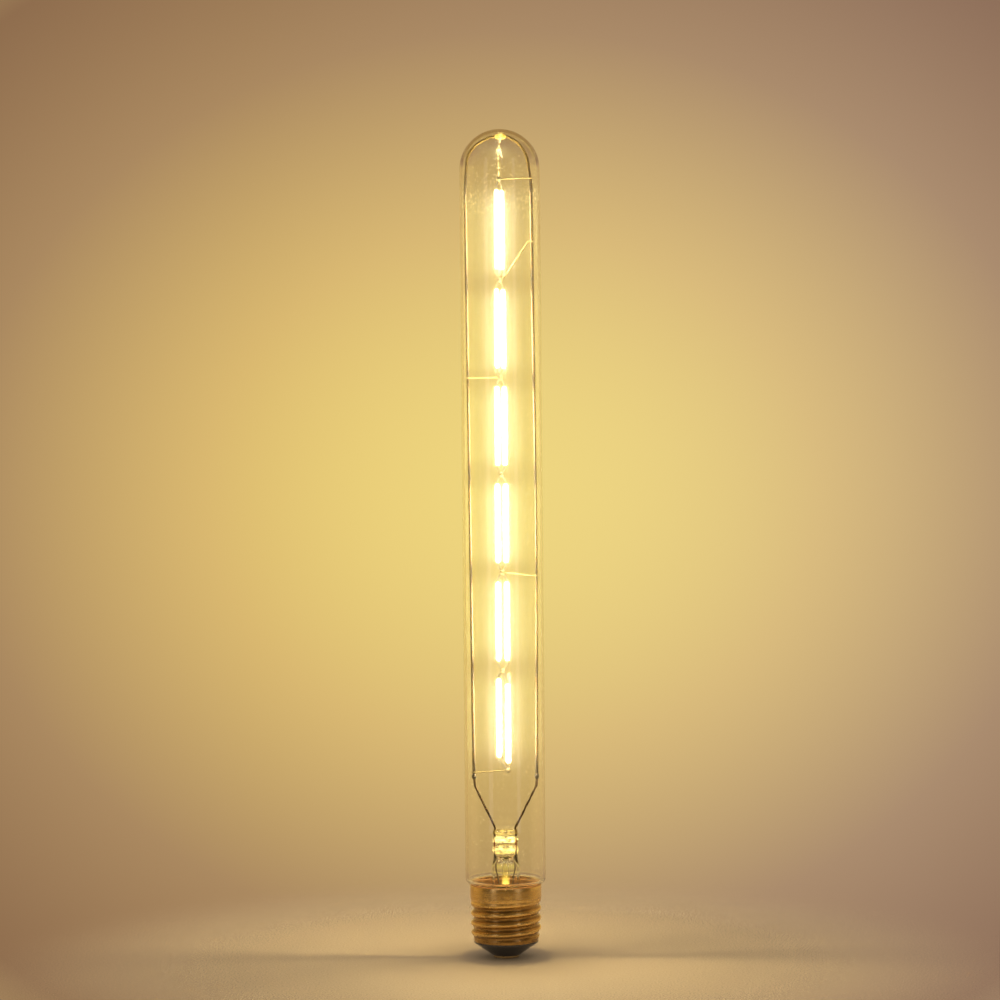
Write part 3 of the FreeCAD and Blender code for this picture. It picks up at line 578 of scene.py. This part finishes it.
# %% Finishes
class Finish:
    """A material and its graph. The keyword values are set on the main shader's own sockets."""

    def __init__(self, name, world=False, **values):
        self.owner = bpy.data.worlds.new(name) if world else bpy.data.materials.new(name)
        self.owner.use_nodes = True
        self.tree = self.owner.node_tree
        self.tree.nodes.clear()
        self.out = self.tree.nodes.new("ShaderNodeOutputWorld" if world else "ShaderNodeOutputMaterial")
        if not world:
            inputs = {key.replace("_", " "): value for key, value in values.items()}
            self.shader = self.add("BsdfPrincipled", {}, inputs)
            self.end(self.shader)

    def add(self, kind, settings=None, inputs=None, out=0):
        """A node of a kind: settings first, then its sockets' values or links. Gives one output."""
        node = self.tree.nodes.new("ShaderNode" + kind)
        for key, value in (settings or {}).items():
            if key == "stops":
                self.set_stops(node.color_ramp, value)
            else:
                setattr(node, key, value)
        for key, value in (inputs or {}).items():
            self.feed(node.inputs[key], value)
        return Sock(self, node.outputs[out])

    def set_stops(self, ramp, stops):
        """Fills a ramp with (place, colour) stops."""
        while len(ramp.elements) < len(stops):
            ramp.elements.new(0.5)
        for element, (place, colour) in zip(ramp.elements, stops):
            element.position = place
            element.color = (*colour, 1)

    def feed(self, socket, value):
        """Links a Sock, or sets a plain value or colour."""
        if isinstance(value, Sock):
            self.tree.links.new(value.socket, socket)
        elif isinstance(value, tuple) and len(value) == 3 and socket.type == "RGBA":
            socket.default_value = (*value, 1)
        else:
            socket.default_value = value

    def vary(self, **values):
        """Links what changes over the surface to the main shader. A plain value is set on its socket."""
        for key, value in values.items():
            self.feed(self.shader.socket.node.inputs[key.replace("_", " ")], value)

    def end(self, shader, socket="Surface"):
        self.tree.links.new(shader.socket, self.out.inputs[socket])

    def where(self, scale=(1, 1, 1)):
        """Object coordinates in metres, stretched by a scale."""
        place = self.add("TexCoord", out="Object")
        return self.add("Mapping", {}, {"Vector": place, "Scale": scale})

    def place(self, axis):
        """One of the Object coordinates, in millimetres."""
        place = self.add("TexCoord", out="Object")
        return self.add("SeparateXYZ", {}, {0: place}, out=axis) * (1 / MM)

    def along(self):
        """The second number of a piece's own map: how far along a bar, or 1 on the lining of the tube."""
        return self.add("SeparateXYZ", {}, {0: self.add("UVMap", {"uv_map": "surface"})}, out="Y")

    def noise(self, scale, stretch=(1, 1, 1), detail=3.0, rough=0.5):
        """Cloudy noise between 0 and 1, with about scale lumps a metre."""
        inputs = {"Vector": self.where(stretch), "Scale": scale, "Detail": detail, "Roughness": rough}
        return self.add("TexNoise", {}, inputs)

    def ramp(self, value, *stops):
        """A colour for each value, from (place, colour) stops."""
        return self.add("ValToRGB", {"stops": stops}, {0: value})

    def grow(self, value, start, end, kind="LINEAR"):
        """0 where the value is at the start, 1 where it is at the end, and a share in between."""
        inputs = {"Value": value, "From Min": start, "From Max": end}
        return self.add("MapRange", {"interpolation_type": kind}, inputs)

    def blend(self, share, first, second, kind="MIX"):
        """A colour between two colours."""
        settings = {"data_type": "RGBA", "blend_type": kind}
        return self.add("Mix", settings, {0: share, 6: first, 7: second}, out=2)

    def shaded(self, colour, share):
        """A colour times a share between 0 and 1."""
        return self.blend(share, (0, 0, 0), colour)

    def mixed(self, share, first, second):
        """One shader where the share is 0, the other where it is 1."""
        return self.add("MixShader", {}, {0: share, 1: first, 2: second})

    def bump(self, height, distance, strength=1.0):
        """A normal that tilts as if the surface stood out by height times distance, in metres."""
        return self.add("Bump", {}, {"Height": height, "Distance": distance, "Strength": strength})

    def wear_on(self, *pieces):
        """Gives the finish to these objects, or to the frame's own pieces of these names."""
        for piece in pieces:
            piece = parts[piece] if isinstance(piece, str) else piece
            piece.data.materials.clear()
            piece.data.materials.append(self.owner)


# %% [markdown]
# ## Clear glass
# Glass is one shader with a refractive index and no roughness. Lamps must shine through it, so rays that
# only ask for light pass straight on. The wall absorbs blue more than red, which warms what is seen
# through it and draws the edges of the tube darker than its middle.
#
# The glare round a lit filament is made on the lining of the tube, by three films. Drawn tubing has fine
# lines along its length, which spread a reflection sideways and keep its ends sharp, as a brushed metal
# does: that gives a pale sheet of light round every filament. A rounder reflection gives the halo. The
# haze is glass that is a little rough. It lies in front of and behind the string only, because the foot
# and the head of the tube look clear.

# %% Glass
Film = namedtuple("Film", "share tint rough stretched metal reach")

GLASS_INDEX = 1.5
FILM_WEAR = (1, 1, 0.25)  # the noise in the films is four times longer than wide
HAZE_LOW, HAZE_HIGH, HAZE_ASIDE = (64.0, 74.0), (292.0, 282.0), (6.0, 11.0)  # millimetres
HAZE_LOSS = 0.85  # the share of the haze that is lost beside the string


def make_glass(name, tint, absorbed, density, films=(), glow=None):
    """Clear glass with films on its lining, whose shares faint wear varies, and light caught in it."""
    finish = Finish(name, Base_Color=tint, Roughness=0.0, IOR=GLASS_INDEX, Transmission_Weight=1.0)
    if glow:
        finish.vary(Emission_Strength=1.0, Emission_Color=glow(finish))
        finish.owner.cycles.emission_sampling = "NONE"  # too faint to aim rays at
    body = finish.shader
    for film in films:
        values = {"Base Color": film.tint, "Roughness": film.rough, "Metallic": film.metal}
        values |= {"Anisotropic": film.stretched, "IOR": GLASS_INDEX, "Transmission Weight": 1 - film.metal}
        share = finish.noise(70.0, FILM_WEAR) * film.share + film.share * 0.5
        if film.reach:
            share = share * film.reach(finish)
        body = finish.mixed(share * finish.along(), body, finish.add("BsdfPrincipled", {}, values))
    shadow = finish.add("LightPath", out="Is Shadow Ray")
    diffuse = finish.add("LightPath", out="Is Diffuse Ray")
    finish.end(finish.mixed(shadow.math("MAXIMUM", diffuse), body, finish.add("BsdfTransparent")))
    finish.end(finish.add("VolumeAbsorption", {}, {"Color": absorbed, "Density": density}), "Volume")
    return finish


def string_side(finish):
    """1 on the glass in front of and behind the string, less towards the wires, 0 above and below it."""
    aside = finish.grow(finish.place("X").math("ABSOLUTE"), *HAZE_ASIDE, "SMOOTHSTEP")
    over = finish.grow(finish.place("Z"), *HAZE_LOW, "SMOOTHSTEP")
    under = finish.grow(finish.place("Z"), *HAZE_HIGH, "SMOOTHSTEP")
    return (1 - aside * HAZE_LOSS) * over * under


# %% [markdown]
# ## Light caught in the glass
# The pressed stem, the melted tip of the exhaust tube and the top bead are thick glass right beside the
# string, and they gather its light and glow. Following that light through every bend would take a very
# long render, so each gets a soft light of its own, in lumps where the glass is lumpy. Specks of dust on
# the lining light up the same way. Most of them lie round the top of the string.

# %% Glow
DARK = (0, 0, 0)
PRESS_REACH = 6.0  # millimetres from the axis to where the press stops glowing
LUMP_LEVEL, LUMP_SLOPE = 0.38, 3.6  # noise over the level glows, and how fast it grows from there
DUST_PLACE, DUST_REACH = 282.0, 8.0  # millimetres
DUST_LEVEL, DUST_MORE, DUST_SLOPE = 0.7, 0.105, 14.0  # the same, and how far the level sinks at the place
EXHAUST_LIT, EXHAUST_FALL = 33.0, 12.0  # the height where the tube starts to glow, and how far it grows


def press_glow(finish):
    """Light caught by the bands: most in the middle one and near the axis, in lumps."""
    rise = (finish.place("Z") - press_low) / (press_high - press_low)
    dim, warm, bright = (0.06, 0.04, 0.01), (0.7, 0.46, 0.09), (1.9, 1.5, 0.5)
    stops = [(0.0, DARK), (0.05, warm), (0.2, bright), (0.33, warm), (0.38, DARK)]
    stops += [(0.45, DARK), (0.5, bright), (0.68, bright), (0.74, dim), (0.8, dim)]
    stops += [(0.85, warm), (0.93, warm), (1.0, DARK)]
    across = finish.place("X") / PRESS_REACH
    near = 1 - across * across
    grain = finish.noise(700.0, (1, 1, 1.6), detail=2.0)
    lump = ((grain - LUMP_LEVEL) * LUMP_SLOPE).math("MAXIMUM", 0.0)
    return finish.shaded(finish.ramp(rise, *stops), (near * lump).math("MINIMUM", 1.0))


def exhaust_glow(finish):
    """The thin tube carries light down to its tip: the glow grows towards it."""
    fall = (EXHAUST_LIT - finish.place("Z")) / EXHAUST_FALL
    stops = [(0.0, DARK), (0.25, (0.12, 0.08, 0.01)), (0.6, (0.65, 0.46, 0.08)), (1.0, (0.8, 0.55, 0.1))]
    return finish.ramp(fall, *stops)


def bead_glow(finish):
    """The bead gathers light from the string below it."""
    grain = finish.noise(900.0, detail=2.0)
    return finish.ramp(grain, (0.3, (0.3, 0.2, 0.02)), (0.6, (1.5, 1.15, 0.25)))


def dust_glow(finish):
    """Specks where fine noise is high, more of them by exp(-r*r) of the height from DUST_PLACE."""
    grain = finish.noise(1400.0, detail=1.0)
    off = (finish.place("Z") - DUST_PLACE) / DUST_REACH
    more = (off * off * -1.0).math("EXPONENT")
    specks = ((grain - DUST_LEVEL + more * DUST_MORE) * DUST_SLOPE).kept(0.0, 1.0)
    return finish.shaded((0.4, 0.34, 0.15), specks * finish.along())


# %% Glass pieces
sheet = Film(0.0035, (0.82, 0.93, 0.45), rough=0.5, stretched=0.92, metal=1.0, reach=None)
halo = Film(0.003, (0.95, 0.95, 0.6), rough=0.26, stretched=0.3, metal=1.0, reach=None)
haze = Film(0.33, (1.0, 0.98, 0.86), rough=0.2, stretched=0.0, metal=0.0, reach=string_side)
clear, warmed = (1.0, 1.0, 1.0), (0.8, 0.72, 0.3)
tube_glass = make_glass("clear_tube", clear, warmed, 100.0, films=(sheet, halo, haze), glow=dust_glow)
stem_look = ((0.98, 0.97, 0.93), (0.75, 0.7, 0.3), 60.0)
stem_glass = make_glass("stem_glass", *stem_look, glow=press_glow)
exhaust_glass = make_glass("exhaust_glass", *stem_look, glow=exhaust_glow)
bead_glass = make_glass("bead_glass", (1.0, 0.95, 0.8), (0.6, 0.5, 0.2), 60.0, glow=bead_glow)
tube_glass.wear_on(tube)
stem_glass.wear_on(stem)
exhaust_glass.wear_on(exhaust)
bead_glass.wear_on(bead)
print("glass on", [p.name for p in (tube, stem, exhaust, bead)])

# %% [markdown]
# ## Lit phosphor
# Under the coat, every chip is a bright spot, and the silicone spreads its light. The emission follows the
# map of the bar: brightest over the chips, and more orange towards the ends, where the coat covers metal.

# %% Filament coat
FILAMENT_POWER = 450.0
bar_length, dark_end = 29.6, 1.6  # millimetres


def make_coat():
    """Emission from the bar's own map: a ripple along it and a fall-off at its ends."""
    finish = Finish("lit_phosphor", Roughness=0.45, Emission_Strength=FILAMENT_POWER)
    along = finish.along()
    end = along.math("MINIMUM", 1 - along) * bar_length
    lit = (end / dark_end).math("MINIMUM", 1.0) ** 2.0
    chip = (along * (2 * math.pi * chips)).math("COSINE") * 0.5 + 0.5
    core = finish.blend(chip * 0.6 + 0.2, (1.0, 0.86, 0.5), (1.0, 0.92, 0.64))
    glow = finish.blend(lit, (0.012, 0.007, 0.001), core)
    grain = finish.noise(2600.0, detail=2.0)
    finish.vary(Emission_Color=glow)
    finish.vary(Base_Color=finish.blend(grain, (0.95, 0.62, 0.12), (1.0, 0.74, 0.2)))
    finish.vary(Normal=finish.bump(grain, 0.00002, 0.4))
    return finish


make_coat().wear_on(*filaments)
print(f"{len(filaments)} lit bars at a strength of {FILAMENT_POWER:.0f}")

# %% [markdown]
# ## Wires and welds
# The long wires are nickel-plated iron, browned by heat where they were sealed and welded. Wire is drawn
# through a die, so it has fine lines along it, and those pull the glint of a filament out into a long
# bright line. A glossy coat of oxide lies on the frame wires and leads. The frame wires were bent under
# the dome, where their lines no longer run upright, so plain metal is mixed in there. The hanger is wound
# of finer wire, and its glints are painted: a faint glow all along it, and bright glowing spots where it
# faces the string. The same function makes every wire finish, from a colour, a darker stain
# and a roughness.


# %% Wire finishes
WIRE_LINES = (1, 1, 0.05)  # the lines are twenty times longer than wide
ALL_WAYS = (1, 1, 1)
OXIDE_INDEX = 1.8
BEND_LOW, BEND_HIGH = 290.0, 297.0  # millimetres


def make_wire(name, colour, stain, rough, metal=1.0, lines=WIRE_LINES, glow=None, **values):
    """Drawn metal: lines along Z in the roughness and the bump, and cloudy stains in the colour."""
    finish = Finish(name, Metallic=metal, **values)
    if glow:
        finish.vary(Emission_Strength=1.0, Emission_Color=glow(finish))
    fine = finish.noise(9000.0, lines, detail=2.0)
    clouds = finish.noise(220.0, detail=4.0, rough=0.6)
    mask = finish.ramp(clouds, (0.35, (0, 0, 0)), (0.7, (1, 1, 1)))
    finish.vary(Base_Color=finish.blend(mask, colour, stain))
    finish.vary(Roughness=fine * 0.15 + (clouds * 0.2 + (rough - 0.15)))
    finish.vary(Normal=finish.bump(fine, 0.00001, 0.35))
    return finish


def bend_in(finish, colour, rough):
    """Mixes in a plain metal with the height, where the wire was bent and its lines don't run along Z."""
    plain = finish.add("BsdfPrincipled", {}, {"Base Color": colour, "Metallic": 1.0, "Roughness": rough})
    bent = finish.grow(finish.place("Z"), BEND_LOW, BEND_HIGH)
    finish.end(finish.mixed(bent, finish.shader, plain))


def painted_glints(finish):
    """Painted glints: a faint glow on the hanger, and bright spots along Z where it faces the string."""
    grain = finish.noise(800.0, (0.2, 0.2, 1), detail=1.0)
    return finish.ramp(grain, (0.42, (0.1, 0.065, 0.01)), (0.56, (2.2, 1.8, 0.7)))


drawn = {"Anisotropic": 1.0, "Coat_Weight": 0.65, "Coat_Roughness": 0.36, "Coat_IOR": OXIDE_INDEX}
browned = {"Coat_Weight": 1.0, "Coat_Roughness": 0.25, "Coat_IOR": OXIDE_INDEX}
# The hanger gets painted glints: a faint glow and bright spots of emission.
wound_with_painted_glints = {"metal": 0.0, "lines": ALL_WAYS, "glow": painted_glints}
burnt = {"metal": 0.0, "lines": ALL_WAYS}
melted = {"metal": 0.4, "lines": ALL_WAYS}
leads = ["inner_lead_left", "inner_lead_right"]
crossing = ["slanted_stay", *(f"cross_wire_{i}" for i in range(1, 5))]
tabs = [f"filament_tabs_{i}" for i in range(1, levels + 2)]
weld_beads = ["weld_bead_left", "weld_bead_right"]
seals = ["seal_wire_left", "seal_wire_right"]
tinned = ["outer_lead_left", "outer_lead_right", "neutral_wire"]

frame_metal = make_wire("frame_wire_metal", (0.15, 0.08, 0.008), (0.1, 0.045, 0.004), 0.46, **drawn)
bend_in(frame_metal, (0.36, 0.25, 0.09), 0.4)
frame_metal.wear_on("frame_wire_left", "frame_wire_right")
for name, colour, stain, rough, values, wearers in (
    ("lead_metal", (0.14, 0.055, 0.004), (0.08, 0.03, 0.003), 0.3, browned, leads),
    ("thin_wire_metal", (0.75, 0.6, 0.3), (0.45, 0.33, 0.14), 0.35, {}, crossing),
    ("hanger_metal", (0.9, 0.75, 0.3), (0.5, 0.36, 0.1), 0.4, wound_with_painted_glints, ["hanger_wire"]),
    ("tab_metal", (0.85, 0.74, 0.46), (0.6, 0.48, 0.26), 0.35, {"metal": 0.4}, tabs),
    ("weld_metal", (0.02, 0.01, 0.004), (0.01, 0.006, 0.003), 0.7, burnt, weld_beads),
    ("nugget_metal", (0.75, 0.62, 0.36), (0.45, 0.34, 0.17), 0.4, melted, ["string_welds"]),
    ("seal_wire_copper", (0.55, 0.2, 0.1), (0.3, 0.1, 0.06), 0.3, {}, seals),
    ("tinned_wire", (0.34, 0.27, 0.2), (0.2, 0.14, 0.09), 0.34, {}, tinned),
):
    make_wire(name, colour, stain, rough, **values).wear_on(*wearers)
print(len(bpy.data.materials), "finishes so far")

# %% [markdown]
# ## The cap
# The shell is rolled brass sheet, spun while it was formed, so its fine lines run round it. Its colour is a
# little darker in the grooves of the thread. The insulator is pressed black glass, with slow waves from the
# mould, the contact a brass disc, and the solder on it set in the air with a dull, shrunk skin. What was
# cast or moulded gets one function: noise mixes two close colours, and gives the grain as well.


# %% Cap finishes
GROOVE_RADIUS = 0.0128  # metres: the thread is darker inside this radius
# How much darker the thread gets for each metre of depth inside the groove radius, and the most.
GROOVE_DARKENING, MOST_DARKENING = 1400.0, 0.75  # share of stain for each metre of depth, and the most
MICRON = 0.000001  # metres


def radius_of(finish):
    """Distance from the axis, in metres: the length of the x and y coordinates."""
    flat = finish.add("Mapping", {}, {"Vector": finish.add("TexCoord", out="Object"), "Scale": (1, 1, 0)})
    return finish.add("VectorMath", {"operation": "LENGTH"}, {0: flat}, out="Value")


def make_brass(name, bright, dull, groove=None):
    """Spun brass: lines round the axis, cloudy tarnish, and a darker colour below the groove radius."""
    finish = Finish(name, Metallic=1.0)
    lines = finish.noise(60.0, (1, 1, 160))
    clouds = finish.noise(130.0, detail=5.0, rough=0.6)
    mask = finish.ramp(clouds, (0.3, (0, 0, 0)), (0.75, (1, 1, 1)))
    colour = finish.blend(mask, bright, dull)
    if groove:
        # Darker colour inside the groove radius, more with depth.
        depth = ((groove - radius_of(finish)) * GROOVE_DARKENING).kept(0.0, MOST_DARKENING)
        colour = finish.blend(depth, colour, (0.22, 0.12, 0.04))
    finish.vary(Base_Color=colour)
    finish.vary(Roughness=lines * 0.18 + clouds * 0.22 + 0.08)
    finish.vary(Normal=finish.bump(lines, 0.00002, 0.5))
    return finish


def make_cast(name, colours, rough, spread=0.15, scale=1500.0, noise=(3.0, 0.5), grain=(30, 0.5), **values):
    """Two close colours mixed by noise, which also gives the roughness and a grain some microns deep."""
    finish = Finish(name, **values)
    clouds = finish.noise(scale, detail=noise[0], rough=noise[1])
    finish.vary(Base_Color=finish.blend(clouds, *colours))
    finish.vary(Roughness=clouds * spread + rough)
    finish.vary(Normal=finish.bump(clouds, grain[0] * MICRON, grain[1]))
    return finish


def make_cement():
    """Baked cement: brown grains of two sizes."""
    finish = Finish("cap_cement", Roughness=0.8)
    grains = finish.noise(2600.0, detail=5.0, rough=0.7)
    clouds = finish.noise(300.0, detail=3.0)
    base = finish.blend(clouds, (0.5, 0.2, 0.035), (0.66, 0.29, 0.06))
    finish.vary(Base_Color=finish.blend(grains * 0.6, base, (0.16, 0.075, 0.03)))
    finish.vary(Normal=finish.bump(grains, 0.00012, 0.7))
    return finish


make_brass("spun_brass", (0.86, 0.6, 0.24), (0.62, 0.38, 0.13), GROOVE_RADIUS).wear_on(shell)
make_brass("contact_brass", (0.8, 0.6, 0.3), (0.6, 0.42, 0.2)).wear_on("centre_contact")
make_cement().wear_on("cement_ring")
greys = ((0.42, 0.42, 0.43), (0.62, 0.62, 0.63))
shrunk = {"spread": 0.35, "scale": 900.0, "noise": (4.0, 0.6), "grain": (60, 0.6), "Metallic": 1.0}
make_cast("tin_solder", greys, 0.25, **shrunk).wear_on("tip_solder", "shell_solder", "board_solder")
blacks = ((0.008, 0.008, 0.01), (0.02, 0.02, 0.026))
wavy = {"spread": 0.12, "scale": 260.0, "grain": (80, 0.5), "Coat_Weight": 0.4}
make_cast("black_glass", blacks, 0.1, **wavy).wear_on("base_insulator")
print(len(bpy.data.materials), "finishes so far")

# %% [markdown]
# ## The driver
# Little of the driver shows, through the neck and the stem. The board is green, its chips are moulded
# epoxy, the capacitor has a shrunk sleeve, and the resistor a flameproof coat. The function for cast and
# moulded stuff makes them all.

# %% Driver finishes
moulded = ["bridge_rectifier", "driver_chip"]
for name, first, second, rough, scale, wearers in (
    ("board_mask", (0.02, 0.10, 0.045), (0.035, 0.15, 0.07), 0.3, 1500.0, ["driver_board"]),
    ("moulded_epoxy", (0.02, 0.02, 0.021), (0.04, 0.04, 0.043), 0.45, 1500.0, moulded),
    ("chip_glaze", (0.03, 0.03, 0.035), (0.08, 0.08, 0.09), 0.3, 1500.0, ["chip_resistors"]),
    ("capacitor_sleeve", (0.012, 0.016, 0.03), (0.025, 0.03, 0.05), 0.25, 400.0, ["smoothing_capacitor"]),
    ("flameproof_coat", (0.16, 0.27, 0.26), (0.24, 0.36, 0.34), 0.5, 1500.0, ["fusible_resistor"]),
):
    make_cast(name, (first, second), rough, scale=scale).wear_on(*wearers)
bare = [name for name, node in parts.items() if not node.hide_render and not node.data.materials]
print(len(bpy.data.materials), "finishes, and pieces left bare:", bare)

# %% [markdown]
# ## Floor
# The lamp stands on a plain pale floor, a disc that fades away with the distance so that no horizon
# crosses the picture. Fine noise breaks up the fade, so it shows no edge.

# %% Floor
FLOOR_RADIUS = 400.0
FLOOR_TOP, FLOOR_FOOT = -0.02, -2.0
FLOOR_FADE = (0.03, 0.20)  # metres from the lamp's axis
FLOOR_GRAIN = 0.6  # how far noise shifts the fade, as a share of it


def make_floor(columns=96):
    """A thin disc whose top lies just under the tip of the cap."""
    rings = wheel([FLOOR_RADIUS, FLOOR_RADIUS], [FLOOR_TOP, FLOOR_FOOT], columns)
    made = skin("pale_floor", rings, tips=[(0, 0, FLOOR_TOP), (0, 0, FLOOR_FOOT)])
    return made


def make_floor_finish():
    """Pale and matt, with a share that grows with the distance from the lamp left clear."""
    finish = Finish("pale_floor", Roughness=0.75, Specular_IOR_Level=0.2)
    clouds = finish.noise(30.0, detail=4.0)
    finish.vary(Base_Color=finish.blend(clouds, (0.36, 0.265, 0.16), (0.385, 0.285, 0.175)))
    grain = finish.noise(1500.0, detail=2.0) - 0.5
    far = (radius_of(finish) - FLOOR_FADE[0]) / (FLOOR_FADE[1] - FLOOR_FADE[0]) + grain * FLOOR_GRAIN
    fade = finish.grow(far, 0.0, 1.0, "SMOOTHSTEP")
    finish.end(finish.mixed(fade, finish.shader, finish.add("BsdfTransparent")))
    return finish


floor = make_floor()
make_floor_finish().wear_on(floor)
print(f"floor: {len(floor.data.polygons)} faces")

# %% [markdown]
# ## Backdrop
# The world is the backdrop: a warm round glow, brightest behind the middle of the lamp and a little cooler
# to the right. It shows to the camera, in glass and in metal. Surfaces that scatter light get a plainer,
# paler light from the same world, so that a colour renders about as it is written.
#
# The backdrop stands for something close behind the lamp, so a ray that the glass bends sideways still
# meets its bright part: for bent rays, the glow is stretched across. Steep rays see a darker ceiling. A
# mirrored ray that comes back towards the camera sees a dim room there. A ray that goes through the glass
# sideways sees the same tone as the camera sees beside it.

# %% World
GLOW_CENTRE = (0.005, 0.0, 0.004)  # the brightest direction, straight past the lamp
GLOW_REACH = (0.264, 0.221)  # how far the glow spreads sideways and upwards
GLOW_STOPS = (
    (0.0, (0.72, 0.53, 0.23)),
    (0.08, (0.66, 0.48, 0.21)),
    (0.28, (0.275, 0.155, 0.08)),
    (0.5, (0.405, 0.25, 0.122)),
    (0.8, (0.70, 0.48, 0.168)),
    (1.0, (0.86, 0.655, 0.195)),
)
BENT_WIDTH = (0.1, 1.0, 1.0)  # bent rays see the glow ten times as wide
BENT_LIFT = (1.06, 1.04, 0.98)  # and a little brighter
CEILING, CEILING_RISE = (0.36, 0.21, 0.07), (0.2, 0.38)
LEFT_TINT, RIGHT_TINT, TINT_SIDES = (1.0, 1.0, 0.96), (1.0, 1.05, 1.3), (-0.1, 0.16)
ROOM, ROOM_BEHIND = (0.10, 0.065, 0.02), (0.15, -0.25)
BESIDE = (0.6, 0.2)  # from straight ahead to sideways, as a part of the ray along Y
SOFT_LIGHT, SOFT_STRENGTH = (1.0, 0.93, 0.82), 0.75


def round_glow(finish, place):
    """The glow exp(-r*r), where r is the distance from the brightest direction over the glow's reach."""
    away = finish.add("VectorMath", {"operation": "SUBTRACT"}, {0: place, 1: GLOW_CENTRE})
    reach = (1 / GLOW_REACH[0], 0, 1 / GLOW_REACH[1])
    away = finish.add("VectorMath", {"operation": "MULTIPLY"}, {0: away, 1: reach})
    square = finish.add("VectorMath", {"operation": "DOT_PRODUCT"}, {0: away, 1: away}, out="Value")
    return finish.ramp((square * -1.0).math("EXPONENT"), *GLOW_STOPS)


def make_world():
    """The glow in the ray's direction, then the ceiling, the tint, the room and the tone beside."""
    finish = Finish("warm_backdrop", world=True)
    seen, glossy, sent, depth = (
        finish.add("LightPath", out=out)
        for out in ("Is Camera Ray", "Is Glossy Ray", "Is Transmission Ray", "Glossy Depth")
    )
    bent = glossy.math("MAXIMUM", sent)
    mirrored = depth.math("MINIMUM", 1.0)
    place = finish.add("TexCoord", out="Generated")
    ahead = finish.add("SeparateXYZ", {}, {0: place}, out="Y")
    wide = finish.add("Mix", {"data_type": "VECTOR"}, {0: bent, 4: (1.0, 1.0, 1.0), 5: BENT_WIDTH}, out=1)
    place = finish.add("VectorMath", {"operation": "MULTIPLY"}, {0: place, 1: wide})
    side, high = (finish.add("SeparateXYZ", {}, {0: place}, out=axis) for axis in "XZ")
    tone = round_glow(finish, place)
    tone = finish.blend(finish.grow(high, *CEILING_RISE), tone, CEILING)
    tint = finish.blend(finish.grow(side, *TINT_SIDES), LEFT_TINT, RIGHT_TINT)
    tone = finish.blend(1.0, tone, tint, "MULTIPLY")
    tone = finish.blend(finish.grow(ahead, *ROOM_BEHIND) * mirrored, tone, ROOM)
    sideways = bent * finish.grow(ahead, *BESIDE) * (1 - mirrored)
    tone = finish.blend(sideways, tone, GLOW_STOPS[0][1])
    tone = finish.blend(1.0, tone, finish.blend(bent, (1.0, 1.0, 1.0), BENT_LIFT), "MULTIPLY")
    backdrop = finish.add("Background", {}, {"Color": tone, "Strength": 1.0})
    light = finish.add("Background", {}, {"Color": SOFT_LIGHT, "Strength": SOFT_STRENGTH})
    finish.end(finish.mixed(seen.math("MAXIMUM", bent), light, backdrop))
    bpy.context.scene.world = finish.owner


make_world()
print("backdrop:", bpy.context.scene.world.name)

# %% [markdown]
# ## Lamps
# Two tall soft boxes stand in front, 40 degrees to each side. A soft box is an area lamp: its power over
# pi times its area is how bright it looks, so both stay near the brightness of the backdrop. In the round
# glass each one becomes a thin pale line. They are hidden from rays that go through glass, or they would
# stand behind the tube as white panes in a view from the back.


# %% Soft boxes
BOX_TURN = 40  # degrees
BOX_AWAY, BOX_MIDDLE = 1.1, 0.35  # metres from the axis, and above the floor
BOX_WIDTH, BOX_HEIGHT = 0.20, 0.9
BOX_GLOW, BOX_TINT = 0.9, (1.0, 0.9, 0.93)


def soft_box(name, degrees):
    """An area lamp that faces the axis. Its power is its brightness times pi times its area."""
    data = bpy.data.lights.new(name, "AREA")
    data.shape, data.size, data.size_y = "RECTANGLE", BOX_WIDTH, BOX_HEIGHT
    data.energy = BOX_GLOW * math.pi * BOX_WIDTH * BOX_HEIGHT
    data.color = BOX_TINT
    box = bpy.data.objects.new(name, data)
    turn = math.radians(degrees)
    box.location = (BOX_AWAY * math.sin(turn), -BOX_AWAY * math.cos(turn), BOX_MIDDLE)
    box.rotation_euler = (math.pi / 2, 0, turn)
    box.visible_transmission = False
    bpy.context.scene.collection.objects.link(box)
    print(f"{name}: {data.energy:.2f} W")


soft_box("left_box", -BOX_TURN)
soft_box("right_box", BOX_TURN)

# %% [markdown]
# ## Camera
# The camera looks level along Y at half the lamp's height. Its distance and lens follow from two measures
# of the picture: how many pixels a millimetre takes at the lamp, and how wide a pixel is as an angle. The
# picture is a hair off plumb, so the camera rolls by half a degree.

# %% Camera
PICTURE = 1000
PIXELS_A_MM = 2.68
FOCAL_PIXELS = 2450.0
TOP_ROW = 129.5  # row of the top of the dome
AXIS_COLUMN = 502.4  # column of the glass's axis at half the picture's height
ROLL_DEGREES = 0.5

data = bpy.data.cameras.new("camera")
data.sensor_width = 36.0
data.lens = FOCAL_PIXELS / PICTURE * data.sensor_width
camera = bpy.data.objects.new("camera", data)
eye_height = glass_high[2] - (PICTURE / 2 - TOP_ROW) / PIXELS_A_MM
aside = (PICTURE / 2 - AXIS_COLUMN) / PIXELS_A_MM
camera.location = (aside * MM, -FOCAL_PIXELS / PIXELS_A_MM * MM, eye_height * MM)
camera.rotation_euler = (math.pi / 2, math.radians(ROLL_DEGREES), 0)
bpy.context.scene.collection.objects.link(camera)
bpy.context.scene.camera = camera
bpy.context.scene.view_settings.view_transform = "Standard"
print(f"lens {data.lens:.1f} mm, {-camera.location.y:.3f} m away, {eye_height:.1f} mm up")
